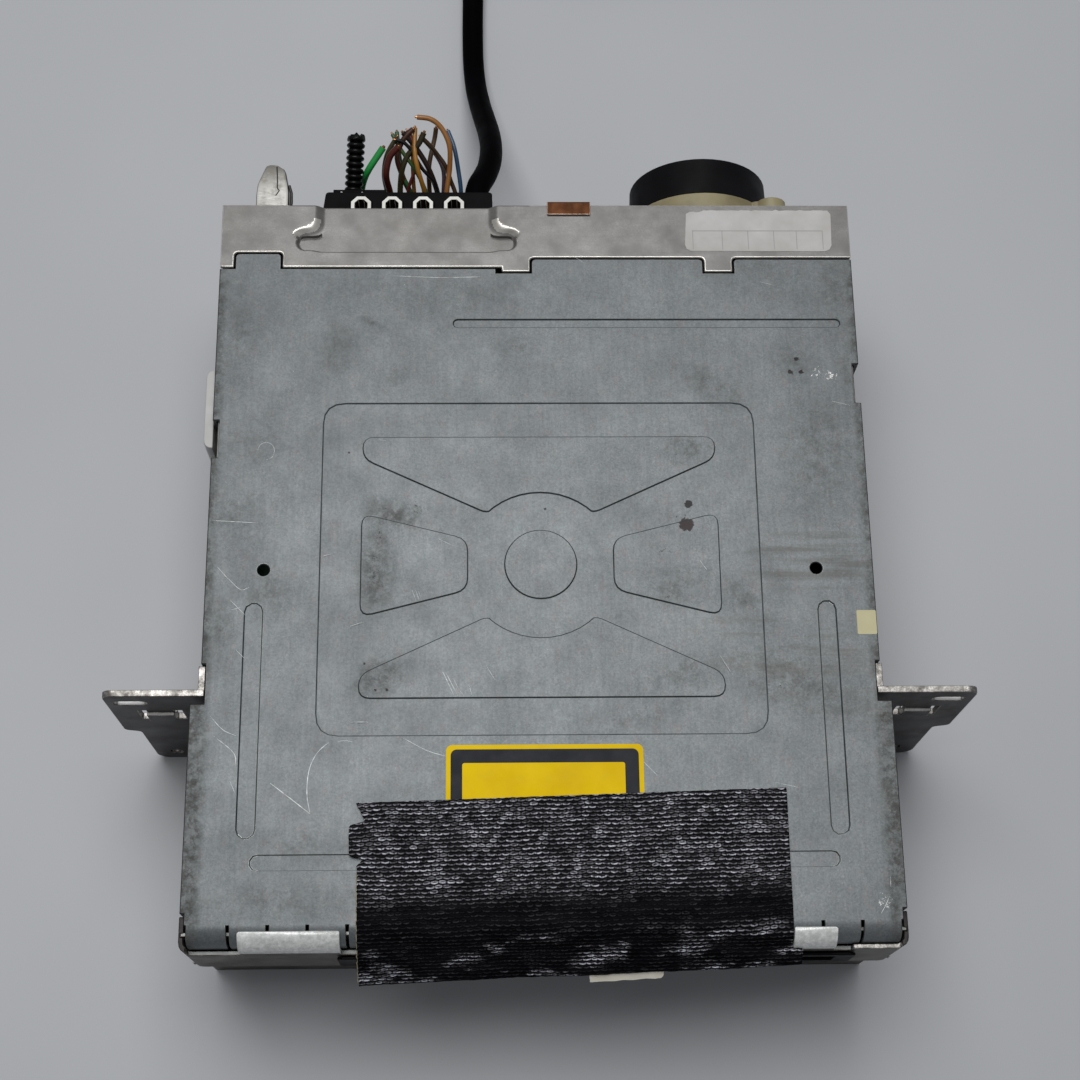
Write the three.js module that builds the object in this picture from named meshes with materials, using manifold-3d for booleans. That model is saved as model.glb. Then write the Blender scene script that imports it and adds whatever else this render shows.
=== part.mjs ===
// Car head unit: a slot-loading disc player in a sheet steel case, without its face plate.
// Millimetres, +Z up, +Y to the rear. The origin is on the underside of the base, below the circle pressed in
// the lid. The harness plug and the fan are on the rear wall, the disc slot is in the front.
import * as THREE from "three";
import { mergeVertices } from "three/addons/utils/BufferGeometryUtils.js";
import Module from "manifold-3d";

const wasm = await Module();
wasm.setup();

// Driving dimensions
const caseHeight = 70; // underside of the base to the top of the lid
const rearWidth = 179; // over the lid's side flanges behind the brackets
const frontWidth = 184; // over the lid's side flanges in front of the brackets
const frontReach = 98; // origin to the front plate's face
const rearReach = 108.7; // origin to the rear wall's outer face
const driveX = 13.5; // the disc's spindle, and the middle of the slot
const driveSide = 7.7; // between the drive's right cheek and the case wall beside it
const deckDrop = 30; // from the lid's top to the underside of the drive's deck
const sheet = 1; // case steel
const frameSheet = 1.2; // front frame steel
const bracketSheet = 1.8; // bracket steel
const gap = 0.3; // between pieces that meet
const weld = 0.5; // how far the walls of one piece run into each other
const overrun = 3; // how far a cutter passes the faces that it cuts
const arcSteps = 4; // segments of a rounded corner
const slotSteps = 5; // segments of a slot's round end
const rollSteps = 6; // segments of a bend over the front edge
const ringSides = 24; // sides of a small round piece

const halfTurn = Math.PI;
const fullTurn = 2 * Math.PI;
const rearHalf = rearWidth / 2;
const frontHalf = frontWidth / 2;
const trayHalf = rearHalf - sheet - gap;
const deckHalf = trayHalf - sheet - driveX - driveSide;
const deckZ = caseHeight - deckDrop;
const fromTop = (drops) => drops.map((drop) => caseHeight - drop);
const fromRear = (backs) => backs.map((back) => rearReach - back);
const behindFront = (inset) => inset - frontReach;

// Finishes
const lidZinc = { color: 0x838b8e, roughness: 0.5, metalness: 0.7 };
const coverZinc = { color: 0x9a9791, roughness: 0.45, metalness: 0.7 };
const frameZinc = { color: 0x8f9392, roughness: 0.45, metalness: 0.7 };
const bareSteel = { color: 0x5f5b57, roughness: 0.4, metalness: 0.85 };
const brightSteel = { color: 0xb9bcbe, roughness: 0.25, metalness: 1 };
const copper = { color: 0xa9704a, roughness: 0.35, metalness: 1 };
const blackPlastic = { color: 0x17181a, roughness: 0.5, metalness: 0 };
const whitePlastic = { color: 0xe6e5e0, roughness: 0.5, metalness: 0 };
const creamPlastic = { color: 0xcfc6a5, roughness: 0.55, metalness: 0 };
const clearPlastic = { color: 0xc9c8c3, roughness: 0.25, metalness: 0 };
const blackRubber = { color: 0x141414, roughness: 0.75, metalness: 0 };
const blackCloth = { color: 0x101010, roughness: 0.8, metalness: 0 };
const boardGreen = { color: 0x1d5b34, roughness: 0.6, metalness: 0 };
const greyAluminium = { color: 0xa5a8aa, roughness: 0.4, metalness: 0.9 };
const lensBlue = { color: 0x6d86b8, roughness: 0.1, metalness: 0 };

// Turns a closed geometry into a solid that can be joined and cut.
function solid(geometry) {
  const bare = geometry.clone();
  bare.deleteAttribute("normal");
  bare.deleteAttribute("uv");
  const merged = mergeVertices(bare);
  return new wasm.Manifold(
    new wasm.Mesh({
      numProp: 3,
      vertProperties: new Float32Array(merged.attributes.position.array),
      triVerts: new Uint32Array(merged.index.array),
    }),
  );
}

function geometryOf(body) {
  const mesh = body.getMesh();
  const geometry = new THREE.BufferGeometry();
  geometry.setAttribute("position", new THREE.BufferAttribute(mesh.vertProperties, mesh.numProp));
  geometry.setIndex(new THREE.BufferAttribute(mesh.triVerts, 1));
  geometry.computeVertexNormals();
  return geometry;
}

const join = (...bodies) => bodies.reduce((whole, body) => whole.add(body));
const cut = (whole, ...tools) => tools.reduce((left, tool) => left.subtract(tool), whole);
const ordered = ([a, b]) => (a < b ? [a, b] : [b, a]);
const about = (centre, size) => [centre - size / 2, centre + size / 2];
const spread = (count, from, to) =>
  Array.from({ length: count }, (_, i) => from + ((to - from) * i) / Math.max(count - 1, 1));

function block(xs, ys, zs) {
  const [[x0, x1], [y0, y1], [z0, z1]] = [xs, ys, zs].map(ordered);
  const geometry = new THREE.BoxGeometry(x1 - x0, y1 - y0, z1 - z0);
  return solid(geometry.translate((x0 + x1) / 2, (y0 + y1) / 2, (z0 + z1) / 2));
}

// An outline in the plane across an axis, pushed along that axis: (y, z) for x, (x, z) for y, (x, y) for z.
function plate(shape, axis, span) {
  const [start, end] = ordered(span);
  const geometry = new THREE.ExtrudeGeometry(shape, {
    depth: end - start,
    bevelEnabled: false,
    curveSegments: arcSteps,
  });
  if (axis === "x") {
    const turn = new THREE.Matrix4().makeBasis(
      new THREE.Vector3(0, 1, 0),
      new THREE.Vector3(0, 0, 1),
      new THREE.Vector3(1, 0, 0),
    );
    geometry.applyMatrix4(turn).translate(start, 0, 0);
  } else if (axis === "y") {
    geometry.rotateX(halfTurn / 2).translate(0, end, 0);
  } else {
    geometry.translate(0, 0, start);
  }
  return solid(geometry);
}

// A round bar along an axis, with its centre given in the plane across that axis.
function rod(axis, radius, centre, span, sides = ringSides, endRadius = radius) {
  const [start, end] = ordered(span);
  const middle = (start + end) / 2;
  const geometry = new THREE.CylinderGeometry(endRadius, radius, end - start, sides);
  if (axis === "x") geometry.rotateZ(-halfTurn / 2).translate(middle, centre[0], centre[1]);
  else if (axis === "y") geometry.translate(centre[0], middle, centre[1]);
  else geometry.rotateX(halfTurn / 2).translate(centre[0], centre[1], middle);
  return solid(geometry);
}

// A closed outline through points [a, b, corner radius].
function outline(points) {
  const shape = new THREE.Shape();
  points.forEach(([a, b, radius = 0], i) => {
    const corner = new THREE.Vector2(a, b);
    const towards = ([c, d]) =>
      new THREE.Vector2(c, d).sub(corner).setLength(radius).add(corner);
    const from = radius ? towards(points.at(i - 1)) : corner;
    if (i) shape.lineTo(from.x, from.y);
    else shape.moveTo(from.x, from.y);
    if (!radius) return;
    const to = towards(points[(i + 1) % points.length]);
    shape.quadraticCurveTo(a, b, to.x, to.y);
  });
  shape.closePath();
  return shape;
}

const rectangle = ([a0, a1], [b0, b1], radius = 0) =>
  outline([[a0, b0, radius], [a1, b0, radius], [a1, b1, radius], [a0, b1, radius]]);

const arc = (centre, radius, from, to, steps) =>
  spread(steps + 1, from, to).map((a) => [centre[0] + radius * Math.cos(a), centre[1] + radius * Math.sin(a)]);

// A slot with round ends, its long side along the first or the second axis of its plane.
function stadium([a0, a1], [b0, b1]) {
  const radius = Math.min(a1 - a0, b1 - b0) / 2;
  const start = a1 - a0 > b1 - b0 ? -halfTurn / 2 : 0;
  return outline([
    ...arc([a1 - radius, b1 - radius], radius, start, start + halfTurn, slotSteps),
    ...arc([a0 + radius, b0 + radius], radius, start + halfTurn, start + fullTurn, slotSteps),
  ]);
}

// A closed skin over rings of points, all with as many points, each ring convex.
function loft(rings) {
  const count = rings[0].length;
  const positions = rings.flat().flatMap((p) => [p.x, p.y, p.z]);
  const faces = [];
  for (let k = 0; k + 1 < rings.length; k++)
    for (let i = 0; i < count; i++) {
      const [a, b] = [k * count + i, k * count + ((i + 1) % count)];
      faces.push(a, b, b + count, a, b + count, a + count);
    }
  const last = (rings.length - 1) * count;
  for (let i = 1; i + 1 < count; i++) faces.push(0, i + 1, i, last, last + i, last + i + 1);
  const geometry = new THREE.BufferGeometry();
  geometry.setAttribute("position", new THREE.Float32BufferAttribute(positions, 3));
  geometry.setIndex(faces);
  return geometry;
}

// A tube of few sides that follows a smooth curve through points.
function tube(points, radius, sides, steps) {
  const corners = spread(sides + 1, 0, fullTurn)
    .slice(0, sides)
    .map((a) => new THREE.Vector2(radius * Math.cos(a), radius * Math.sin(a)));
  return new THREE.ExtrudeGeometry(new THREE.Shape(corners), {
    steps,
    bevelEnabled: false,
    extrudePath: new THREE.CatmullRomCurve3(points, false, "centripetal"),
  });
}

const unit = new THREE.Group();

function piece(name, shape, finish, parent = unit) {
  const geometry = shape.isBufferGeometry ? shape : geometryOf(shape);
  const mesh = new THREE.Mesh(geometry, new THREE.MeshStandardMaterial(finish));
  mesh.name = name;
  parent.add(mesh);
}

// Chassis tray: base and side walls, with vents, standoffs for the board and seats for the drive's dampers
const trayFront = -(frontReach - sheet - gap);
const trayRear = rearReach - sheet - gap;
const trayTop = caseHeight - sheet - gap;
const ventLength = 22;
const ventWidth = 3;
const ventPitch = 8;
const baseVentColumns = 5;
const baseVentX = 46;
const baseVentY = 62;
const wallVentColumns = 8;
const wallVentSpan = [-12, 58];
const wallVentZ = [30, 48];
const boardUnderside = 7;
const standoffRadius = 3;
const boardMargin = 4.2; // between the board's edge and the outside of the case wall
const boardHalf = trayHalf - boardMargin;
const standoffInset = 6;
const standoffX = boardHalf - standoffInset;
const standoffFront = 32;
const standoffBack = 10.7;
const standoffY = [behindFront(standoffFront), rearReach - standoffBack];
const screwRadius = 1.5;
const screwHeadRadius = 2.9;
const screwHeadHeight = 1.6;

const bracketFace = -36; // the front face of both brackets' plates
const bracketFoot = 8.4; // how far a bracket's fold runs along the case wall
const bracketScrewZ = [16, 52];
const bracketScrewY = bracketFace + bracketSheet + (bracketFoot - bracketSheet) / 2 + gap;
const caseScrewZ = 34;
const coverFlange = 17; // how far the rear cover's side flanges reach forward
const caseScrewY = rearReach - coverFlange / 2;

function chassisTray() {
  const base = block([-trayHalf, trayHalf], [trayFront, trayRear], [0, sheet]);
  const walls = [-1, 1].map((side) =>
    block([side * trayHalf, side * (trayHalf - sheet)], [trayFront, trayRear], [0, trayTop]),
  );
  const standoffs = [-standoffX, standoffX].flatMap((x) =>
    standoffY.map((y) => rod("z", standoffRadius, [x, y], [sheet - weld, boardUnderside - gap], 10)),
  );
  const baseVents = [-baseVentX, baseVentX].flatMap((x) =>
    spread(baseVentColumns, baseVentY - (ventPitch * (baseVentColumns - 1)) / 2,
      baseVentY + (ventPitch * (baseVentColumns - 1)) / 2).map((y) =>
      plate(stadium(about(x, ventLength), about(y, ventWidth)), "z", [-overrun, sheet + overrun])),
  );
  const wallVents = [-1, 1].flatMap((side) =>
    spread(wallVentColumns, ...wallVentSpan).map((y) =>
      plate(stadium(about(y, ventWidth), wallVentZ), "x",
        [side * (trayHalf - sheet - overrun), side * (trayHalf + overrun)])),
  );
  const screwHoles = [-1, 1].flatMap((side) => [
    ...bracketScrewZ.map((z) => [bracketScrewY, z]),
    [caseScrewY, caseScrewZ],
  ].map((centre) =>
    rod("x", screwRadius + gap, centre,
      [side * (trayHalf - sheet - overrun), side * (trayHalf + overrun)], 10)));
  return cut(join(base, ...walls, ...standoffs), ...baseVents, ...wallVents, ...screwHoles);
}
piece("chassis_tray", chassisTray(), frameZinc);

// The seam between the lid and the rear cover, from left to right. The lid's edge keeps clear of the cover's.
const seamClear = 0.5;
const seamBacks = [19.8, 16.8]; // from the rear wall's face to the seam, left and right
const [seamLeftY, seamRightY] = fromRear(seamBacks);
const tabBack = 21.2; // the cover's two tabs reach forward this far from the rear wall's face
const tabTipY = rearReach - tabBack;
const leftTab = [-10, -2];
const rightTab = [47.5, 55.5];
const relief = 1.7; // the small square opening beside the left tab
const tongueInset = [3.9, 17.6]; // from the lid's left edge
const tongueX = tongueInset.map((inset) => inset - rearHalf);
const tongueBack = 15.1;
const tongueTipY = rearReach - tongueBack;
const seamCorner = 1.2;

const seam = (clear) => [
  [-rearHalf, seamLeftY - clear],
  [tongueX[0] + clear, seamLeftY - clear],
  [tongueX[0] + clear, tongueTipY - clear, seamCorner],
  [tongueX[1] - clear, tongueTipY - clear, seamCorner],
  [tongueX[1] - clear, seamLeftY - clear],
  [leftTab[0] - (clear ? relief : 0), seamLeftY - clear],
  [leftTab[0] - (clear ? relief : 0), tabTipY - clear],
  [leftTab[1] + clear, tabTipY - clear],
  [leftTab[1] + clear, seamRightY - clear, seamCorner],
  [rightTab[0] - clear, seamRightY - clear, seamCorner],
  [rightTab[0] - clear, tabTipY - clear],
  [rightTab[1] + clear, tabTipY - clear],
  [rightTab[1] + clear, seamRightY - clear, seamCorner],
  [rearHalf, seamRightY - clear],
];

// Top lid, with pressed panel and beads, side flanges and a front edge rolled down into spring fingers
const bendBack = 2.5;
const bendLine = frontReach - bendBack; // origin to where the lid starts to roll down
const rollRadius = 5;
const lipDrop = 7.5;
const rollInset = 1.6;
const rollHalf = frontHalf - rollInset;
const fingerCount = 16;
const fingerSpan = 160.3; // between the first slot and the last
const fingerShift = 0.25;
const fingerSlot = 0.8;
const bracketNotch = [-38.2, -27.4];
const leftNotch = [31, 42];
const rightNotch = [47, 58.7];
const notchDepth = 1.9;
const cornerNotch = 2.9; // the lid is narrower this far behind the bend line, where the front frame wraps it
const cornerInset = 1.1;
const lidFlange = 9;
const pressDepth = 0.45;
const panelHalf = [59.16, 46.97];
const panelCorner = 6;
const wedgeOuter = [48.17, 14.6]; // half width and half height of the side wedges' outer ends
const wedgeInner = [19.62, 7.2];
const trapezoidTop = 36.9;
const trapezoidHalf = 48.2;
const trapezoidEnd = 6.3; // its outer ends taper to this
const trapezoidCorner = 0.49 * trapezoidEnd;
const hubArc = 20.6;
const valleyTurn = 0.252 * halfTurn; // where a trapezoid's slanted edge meets the hub
const valleyProud = 0.08; // that corner, before it is rounded, outside the hub's edge
const hubCircle = 9.68;
const pressCorner = 3.4;
const beadInset = 13.2; // from the lid's side edge to the middle of a side bead
const rearBeadBack = 37.4;
const sideBeadFront = 24.3;
const sideBeadRearY = -10.6;
const frontBeadFront = 18.1;
const holeInset = 15.4;
const sideBead = { x: rearHalf - beadInset, width: 4.8, span: [behindFront(sideBeadFront), sideBeadRearY] };
const frontBead = { y: behindFront(frontBeadFront), width: 4.2, span: [-75, 75.7] };
const rearBead = { y: rearReach - rearBeadBack, width: 2.5, span: [-23.7, 85.1] };
const lidHole = { x: rearHalf - holeInset, y: -1.4, radius: 1.7 };
const beadDepth = 0.5;

// The corner beside the hub is rounded up to the point where its second edge touches the hub
function trapezoid(side) {
  const cornerReach = hubArc + valleyProud;
  const bend = Math.sqrt(cornerReach ** 2 - hubArc ** 2);
  const touch = valleyTurn + Math.acos(hubArc / cornerReach);
  const [x, y] = [cornerReach * Math.cos(valleyTurn), cornerReach * Math.sin(valleyTurn)];
  const [inX, inY] = [(hubArc - weld) * Math.cos(touch), (hubArc - weld) * Math.sin(touch)];
  return outline([
    [-trapezoidHalf, side * trapezoidTop, trapezoidCorner],
    [-trapezoidHalf, side * (trapezoidTop - trapezoidEnd), trapezoidCorner],
    [-x, side * y, bend],
    [-inX, side * inY],
    [inX, side * inY],
    [x, side * y, bend],
    [trapezoidHalf, side * (trapezoidTop - trapezoidEnd), trapezoidCorner],
    [trapezoidHalf, side * trapezoidTop, trapezoidCorner],
  ]);
}

function lidPressings() {
  const deep = [caseHeight - pressDepth, caseHeight + overrun];
  const panel = plate(rectangle([-panelHalf[0], panelHalf[0]], [-panelHalf[1], panelHalf[1]], panelCorner),
    "z", deep);
  const wedges = [-1, 1].map((side) =>
    plate(outline([
      [side * wedgeOuter[0], -wedgeOuter[1], pressCorner],
      [side * wedgeOuter[0], wedgeOuter[1], pressCorner],
      [side * wedgeInner[0], wedgeInner[1], pressCorner],
      [side * wedgeInner[0], -wedgeInner[1], pressCorner],
    ]), "z", deep));
  const hub = rod("z", hubArc, [0, 0], [deep[0] - overrun, deep[1] + overrun], 2 * ringSides);
  const trapezoids = [-1, 1].map((side) =>
    cut(plate(trapezoid(side), "z", deep), hub));
  const circle = rod("z", hubCircle, [0, 0], deep, 2 * ringSides);
  return cut(panel, ...wedges, ...trapezoids, circle);
}

function lidBeads() {
  const deep = [caseHeight - beadDepth, caseHeight + overrun];
  const across = ({ y, width, span }) => plate(stadium(span, about(y, width)), "z", deep);
  const along = (side) =>
    plate(stadium(about(side * sideBead.x, sideBead.width), sideBead.span), "z", deep);
  return [across(frontBead), across(rearBead), along(-1), along(1)];
}

// The lid's front edge in side view: a quarter roll, then a short lip
function rollProfile() {
  const centre = [-bendLine, caseHeight - rollRadius];
  const [outer, inner] = [rollRadius, rollRadius - sheet];
  return outline([
    [-bendLine + weld, caseHeight],
    ...arc(centre, outer, halfTurn / 2, halfTurn, rollSteps),
    [-bendLine - outer, caseHeight - lipDrop],
    [-bendLine - inner, caseHeight - lipDrop],
    ...arc(centre, inner, halfTurn, halfTurn / 2, rollSteps),
    [-bendLine + weld, caseHeight - sheet],
  ]);
}

function topLid() {
  const cornerY = -bendLine + cornerNotch;
  const edge = [
    [-frontHalf + cornerInset, -bendLine],
    [frontHalf - cornerInset, -bendLine],
    [frontHalf - cornerInset, cornerY],
    [frontHalf, cornerY],
    [frontHalf, bracketNotch[0]],
    [trayHalf, bracketNotch[0]],
    [trayHalf, bracketNotch[1]],
    [rearHalf, bracketNotch[1]],
    [rearHalf, rightNotch[0]],
    [rearHalf - notchDepth, rightNotch[0]],
    [rearHalf - notchDepth, rightNotch[1]],
    [rearHalf, rightNotch[1]],
    ...seam(seamClear).reverse(),
    [-rearHalf, leftNotch[1]],
    [-rearHalf + notchDepth, leftNotch[1]],
    [-rearHalf + notchDepth, leftNotch[0]],
    [-rearHalf, leftNotch[0]],
    [-rearHalf, bracketNotch[1]],
    [-trayHalf, bracketNotch[1]],
    [-trayHalf, bracketNotch[0]],
    [-frontHalf, bracketNotch[0]],
    [-frontHalf, cornerY],
    [-frontHalf + cornerInset, cornerY],
  ];
  const top = plate(outline(edge), "z", [caseHeight - sheet, caseHeight]);
  const flange = (side, outer, span) =>
    block([side * outer, side * (outer - sheet)], span, [caseHeight - lidFlange, caseHeight]);
  const flanges = [
    flange(-1, frontHalf, [cornerY, bracketNotch[0]]),
    flange(1, frontHalf, [cornerY, bracketNotch[0]]),
    flange(-1, rearHalf, [bracketNotch[1], leftNotch[0]]),
    flange(-1, rearHalf, [leftNotch[1], seamLeftY - seamClear]),
    flange(1, rearHalf, [bracketNotch[1], rightNotch[0]]),
    flange(1, rearHalf, [rightNotch[1], seamRightY - seamClear]),
  ];
  const roll = plate(rollProfile(), "x", [-rollHalf, rollHalf]);
  const slots = spread(fingerCount + 1, fingerShift - fingerSpan / 2, fingerShift + fingerSpan / 2).map((x) =>
    block(about(x, fingerSlot), [-bendLine, -bendLine - rollRadius - overrun],
      [caseHeight - lipDrop - overrun, caseHeight + overrun]));
  const holes = [-1, 1].map((side) =>
    rod("z", lidHole.radius, [side * lidHole.x, lidHole.y],
      [caseHeight - sheet - overrun, caseHeight + overrun], 14));
  return cut(join(top, ...flanges, cut(roll, ...slots)), lidPressings(), ...lidBeads(), ...holes);
}
piece("top_lid", topLid(), lidZinc);

// Rear wall layout
const fanX = 49;
const fanDrop = 23;
const fanZ = caseHeight - fanDrop;
const fanRadius = 20.7;
const airwayRadius = 17.6;
const plugX = [-62, -12.6];
const plugZ = [32, 62];
const plugMouth = { x: [-57, -17.5], z: [36, 56] };
const aerialInset = 15.5;
const aerialX = aerialInset - rearHalf;
const aerialZ = 24;
const aerialRadius = 5.5;
const rearFace = rearReach + gap; // where pieces on the rear wall seat

// Rear cover: the rear wall, a top flange with a pressed recess over the plug, and side flanges
const recessDepth = 1.6;
const recessBacks = [13.9, 9.9];
const recessBar = { x: [-67.6, -6.4], y: fromRear(recessBacks) };
const recessNeck = [-60.2, -14];
const recessShoulder = 3.2;
const coverFoot = 0.4; // the cover's lower edge above the underside of the base

function recessShape() {
  const [left, right] = recessBar.x;
  const [low, high] = recessBar.y;
  const round = (high - low) / 2;
  const end = rearReach + overrun;
  return outline([
    [left, low, round], [right, low, round], [right, high, round],
    [recessNeck[1], high, recessShoulder], [recessNeck[1], end], [recessNeck[0], end],
    [recessNeck[0], high, recessShoulder], [left, high, round],
  ]);
}

function rearCover() {
  const wall = block([-rearHalf, rearHalf], [rearReach - sheet, rearReach], [coverFoot, caseHeight]);
  const flangeEdge = [...seam(0), [rearHalf, rearReach], [-rearHalf, rearReach]];
  const top = plate(outline(flangeEdge), "z", [caseHeight - sheet, caseHeight]);
  const sides = [-1, 1].map((side) =>
    block([side * rearHalf, side * (rearHalf - sheet)],
      [side < 0 ? seamLeftY + relief : seamRightY, rearReach],
      [coverFoot + sheet, caseHeight]));
  const [left, right] = recessBar.x;
  const backing = block([left - sheet, right + sheet], [recessBar.y[0] - sheet, rearReach],
    [caseHeight - sheet - recessDepth, caseHeight - sheet + weld]);
  const recess = plate(recessShape(), "z", [caseHeight - recessDepth, caseHeight + overrun]);
  const through = [rearReach - sheet - overrun, rearReach + overrun];
  const airway = rod("y", airwayRadius, [fanX, fanZ], through, 2 * ringSides);
  const guard = [0, 1].map((k) => {
    const bar = [airwayRadius + weld, sheet];
    const [across, up] = k ? bar : [bar[1], bar[0]];
    return block([fanX - across, fanX + across], [rearReach - sheet, rearReach], [fanZ - up, fanZ + up]);
  });
  const hub = rod("y", airwayRadius / 3, [fanX, fanZ], [rearReach - sheet, rearReach]);
  const mouth = block(plugMouth.x, through, plugMouth.z);
  const aerial = rod("y", aerialRadius + gap, [aerialX, aerialZ], through);
  const screwHoles = [-1, 1].map((side) =>
    rod("x", screwRadius + gap, [caseScrewY, caseScrewZ],
      [side * (rearHalf - sheet - overrun), side * (rearHalf + overrun)], 10));
  const shell = cut(join(wall, top, ...sides, backing), recess, airway, mouth, aerial, ...screwHoles);
  return join(shell, ...guard, hub);
}
piece("rear_cover", rearCover(), coverZinc);

// Front frame: front plate and cheeks outside the tray, and a collar whose wall runs up into the lid's hooks
const collarReach = bendLine + rollRadius + gap + frameSheet;
const collarProudHalf = 0.5;
const collarHalf = frontHalf + collarProudHalf;
const frontDrops = [30, 8.2, 5.4, 3, 2.6]; // from the lid's top to the collar's edges and the front plate's top
const [collarBottom, collarWallTop, ledgeTop, collarTop, frontPlateTop] = fromTop(frontDrops);
const collarCorner = 3;
const cheekHalf = frontHalf - sheet - gap;
const hooks = [[-77.4, -51.7], [62.9, 73.9]];
const hookLean = 0.3; // how far round the roll a hook's lip stops short of the top, in radians
const ledgeX = 78.6;

// Disc drive layout
const deckBack = 32.7; // the drive's rear end, in front of the rear wall's face
const deckRearY = rearReach - deckBack;
const bezelWider = 0.5; // the bezel's half width over the deck's
const bezelHalf = deckHalf + bezelWider;
const slotEnd = 5;
const slotWidth = 2 * (bezelHalf - slotEnd); // a 120 mm disc and 3 mm
const slotRise = [11.4, 17.2];
const slotZ = slotRise.map((rise) => deckZ + rise);
const slotMiddle = (slotZ[0] + slotZ[1]) / 2;

// Slot bezel
const bezelX = about(driveX, 2 * bezelHalf);
const bezelRim = [3.8, 3.4]; // below and above the slot
const bezelZ = [slotZ[0] - bezelRim[0], slotZ[1] + bezelRim[1]];
const bezelWall = 1.4;
const bezelLip = 0.8;

function hookProfile() {
  const centre = [-bendLine, caseHeight - rollRadius];
  const inner = rollRadius + gap;
  const outer = inner + frameSheet;
  return outline([
    ...arc(centre, outer, halfTurn / 2 + hookLean, halfTurn, rollSteps),
    [-bendLine - outer, collarWallTop - weld],
    [-bendLine - inner, collarWallTop - weld],
    ...arc(centre, inner, halfTurn, halfTurn / 2 + hookLean, rollSteps),
  ]);
}

function frontFrame() {
  const wallX = [-collarHalf + weld, collarHalf - weld];
  const front = block(wallX, [-frontReach, -frontReach + sheet], [coverFoot, frontPlateTop]);
  const cheeks = [-1, 1].map((side) =>
    join(
      block([side * cheekHalf, side * (cheekHalf - sheet)], [-frontReach, bracketNotch[0] - sheet],
        [coverFoot, frontPlateTop]),
      block([side * cheekHalf, side * (trayHalf + gap)],
        [bracketNotch[0] - 2 * sheet, bracketNotch[0] - sheet], [coverFoot, frontPlateTop]),
    ));
  const collarBack = -bendLine + cornerNotch - gap;
  const ring = cut(
    plate(outline([
      [-collarHalf, collarBack], [-collarHalf, -collarReach, collarCorner],
      [collarHalf, -collarReach, collarCorner], [collarHalf, collarBack],
    ]), "z", [collarBottom, collarTop]),
    plate(outline([
      [-collarHalf + frameSheet, collarBack + overrun],
      [-collarHalf + frameSheet, -collarReach + frameSheet, collarCorner - frameSheet],
      [collarHalf - frameSheet, -collarReach + frameSheet, collarCorner - frameSheet],
      [collarHalf - frameSheet, collarBack + overrun],
    ]), "z", [collarBottom - overrun, collarTop + overrun]),
    block([-rollHalf - gap, rollHalf + gap], [-collarReach - overrun, -collarReach + 2 * frameSheet],
      [ledgeTop, collarTop + overrun]),
    block([-rollHalf - gap, ledgeX], [-collarReach - overrun, -collarReach + 2 * frameSheet],
      [collarWallTop, collarTop + overrun]),
  );
  const floor = block(wallX, [-collarReach + frameSheet - weld, -frontReach + sheet],
    [collarBottom, collarBottom + frameSheet]);
  const hookBars = hooks.map((span) => plate(hookProfile(), "x", span));
  const mouth = block([bezelX[0] + 2 * bezelLip, bezelX[1] - 2 * bezelLip],
    [-collarReach - overrun, -frontReach + sheet + overrun],
    [bezelZ[0] + 2 * bezelLip, bezelZ[1] - bezelLip]);
  return cut(join(front, ...cheeks, ring, floor, ...hookBars), mouth);
}
piece("front_frame", frontFrame(), frameZinc);

function slotBezel() {
  const front = -collarReach - gap;
  const back = -frontReach + sheet + overrun;
  const lip = plate(rectangle(bezelX, bezelZ, 2 * bezelLip), "y", [front - bezelLip, front]);
  const sleeve = block([bezelX[0] + 2 * bezelLip + gap, bezelX[1] - 2 * bezelLip - gap], [front - weld, back],
    [bezelZ[0] + 2 * bezelLip + gap, bezelZ[1] - bezelLip - gap]);
  const slot = block(about(driveX, slotWidth), [front - overrun, back + overrun], slotZ);
  const flare = plate(outline([
    [front - bezelLip - gap, slotZ[0] - bezelLip], [front - bezelLip - gap, slotZ[1] + bezelLip],
    [front + bezelWall, slotZ[1]], [front + bezelWall, slotZ[0]],
  ]), "x", about(driveX, slotWidth));
  return cut(join(lip, sleeve), slot, flare);
}
piece("disc_slot_bezel", slotBezel(), blackPlastic);

// Mounting brackets: an upright plate with a slot, a lanced tab and a foot folded along the case wall
const bracketBottom = 0.4;
const bracketTop = caseHeight - bracketBottom;
const bracketReach = 26.9; // from the case wall to the widest point
const bracketWing = trayHalf + gap + bracketReach;
const tailInset = 4.2; // the lower part is narrower by this much
const bracketTail = bracketWing - tailInset;
const fromWing = (insets) => insets.map((inset) => bracketWing - inset);
const bracketStep = 32;
const bracketSlotDrops = [9.4, 5.6];
const bracketSlotInsets = [11, 2];
const bracketSlot = { x: fromWing(bracketSlotInsets), z: fromTop(bracketSlotDrops) };
const lanceInsets = [16.8, 9.4];
const lanceX = fromWing(lanceInsets);
const lanceDrops = [24, 15];
const lanceZ = fromTop(lanceDrops);
const lanceWindow = 2.2;
const lanceLift = 1;
const holeFromWing = 10.4;
const bracketHole = { x: bracketWing - holeFromWing, z: 7.8, radius: 1.9 };
const bracketCorner = 3;

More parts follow.
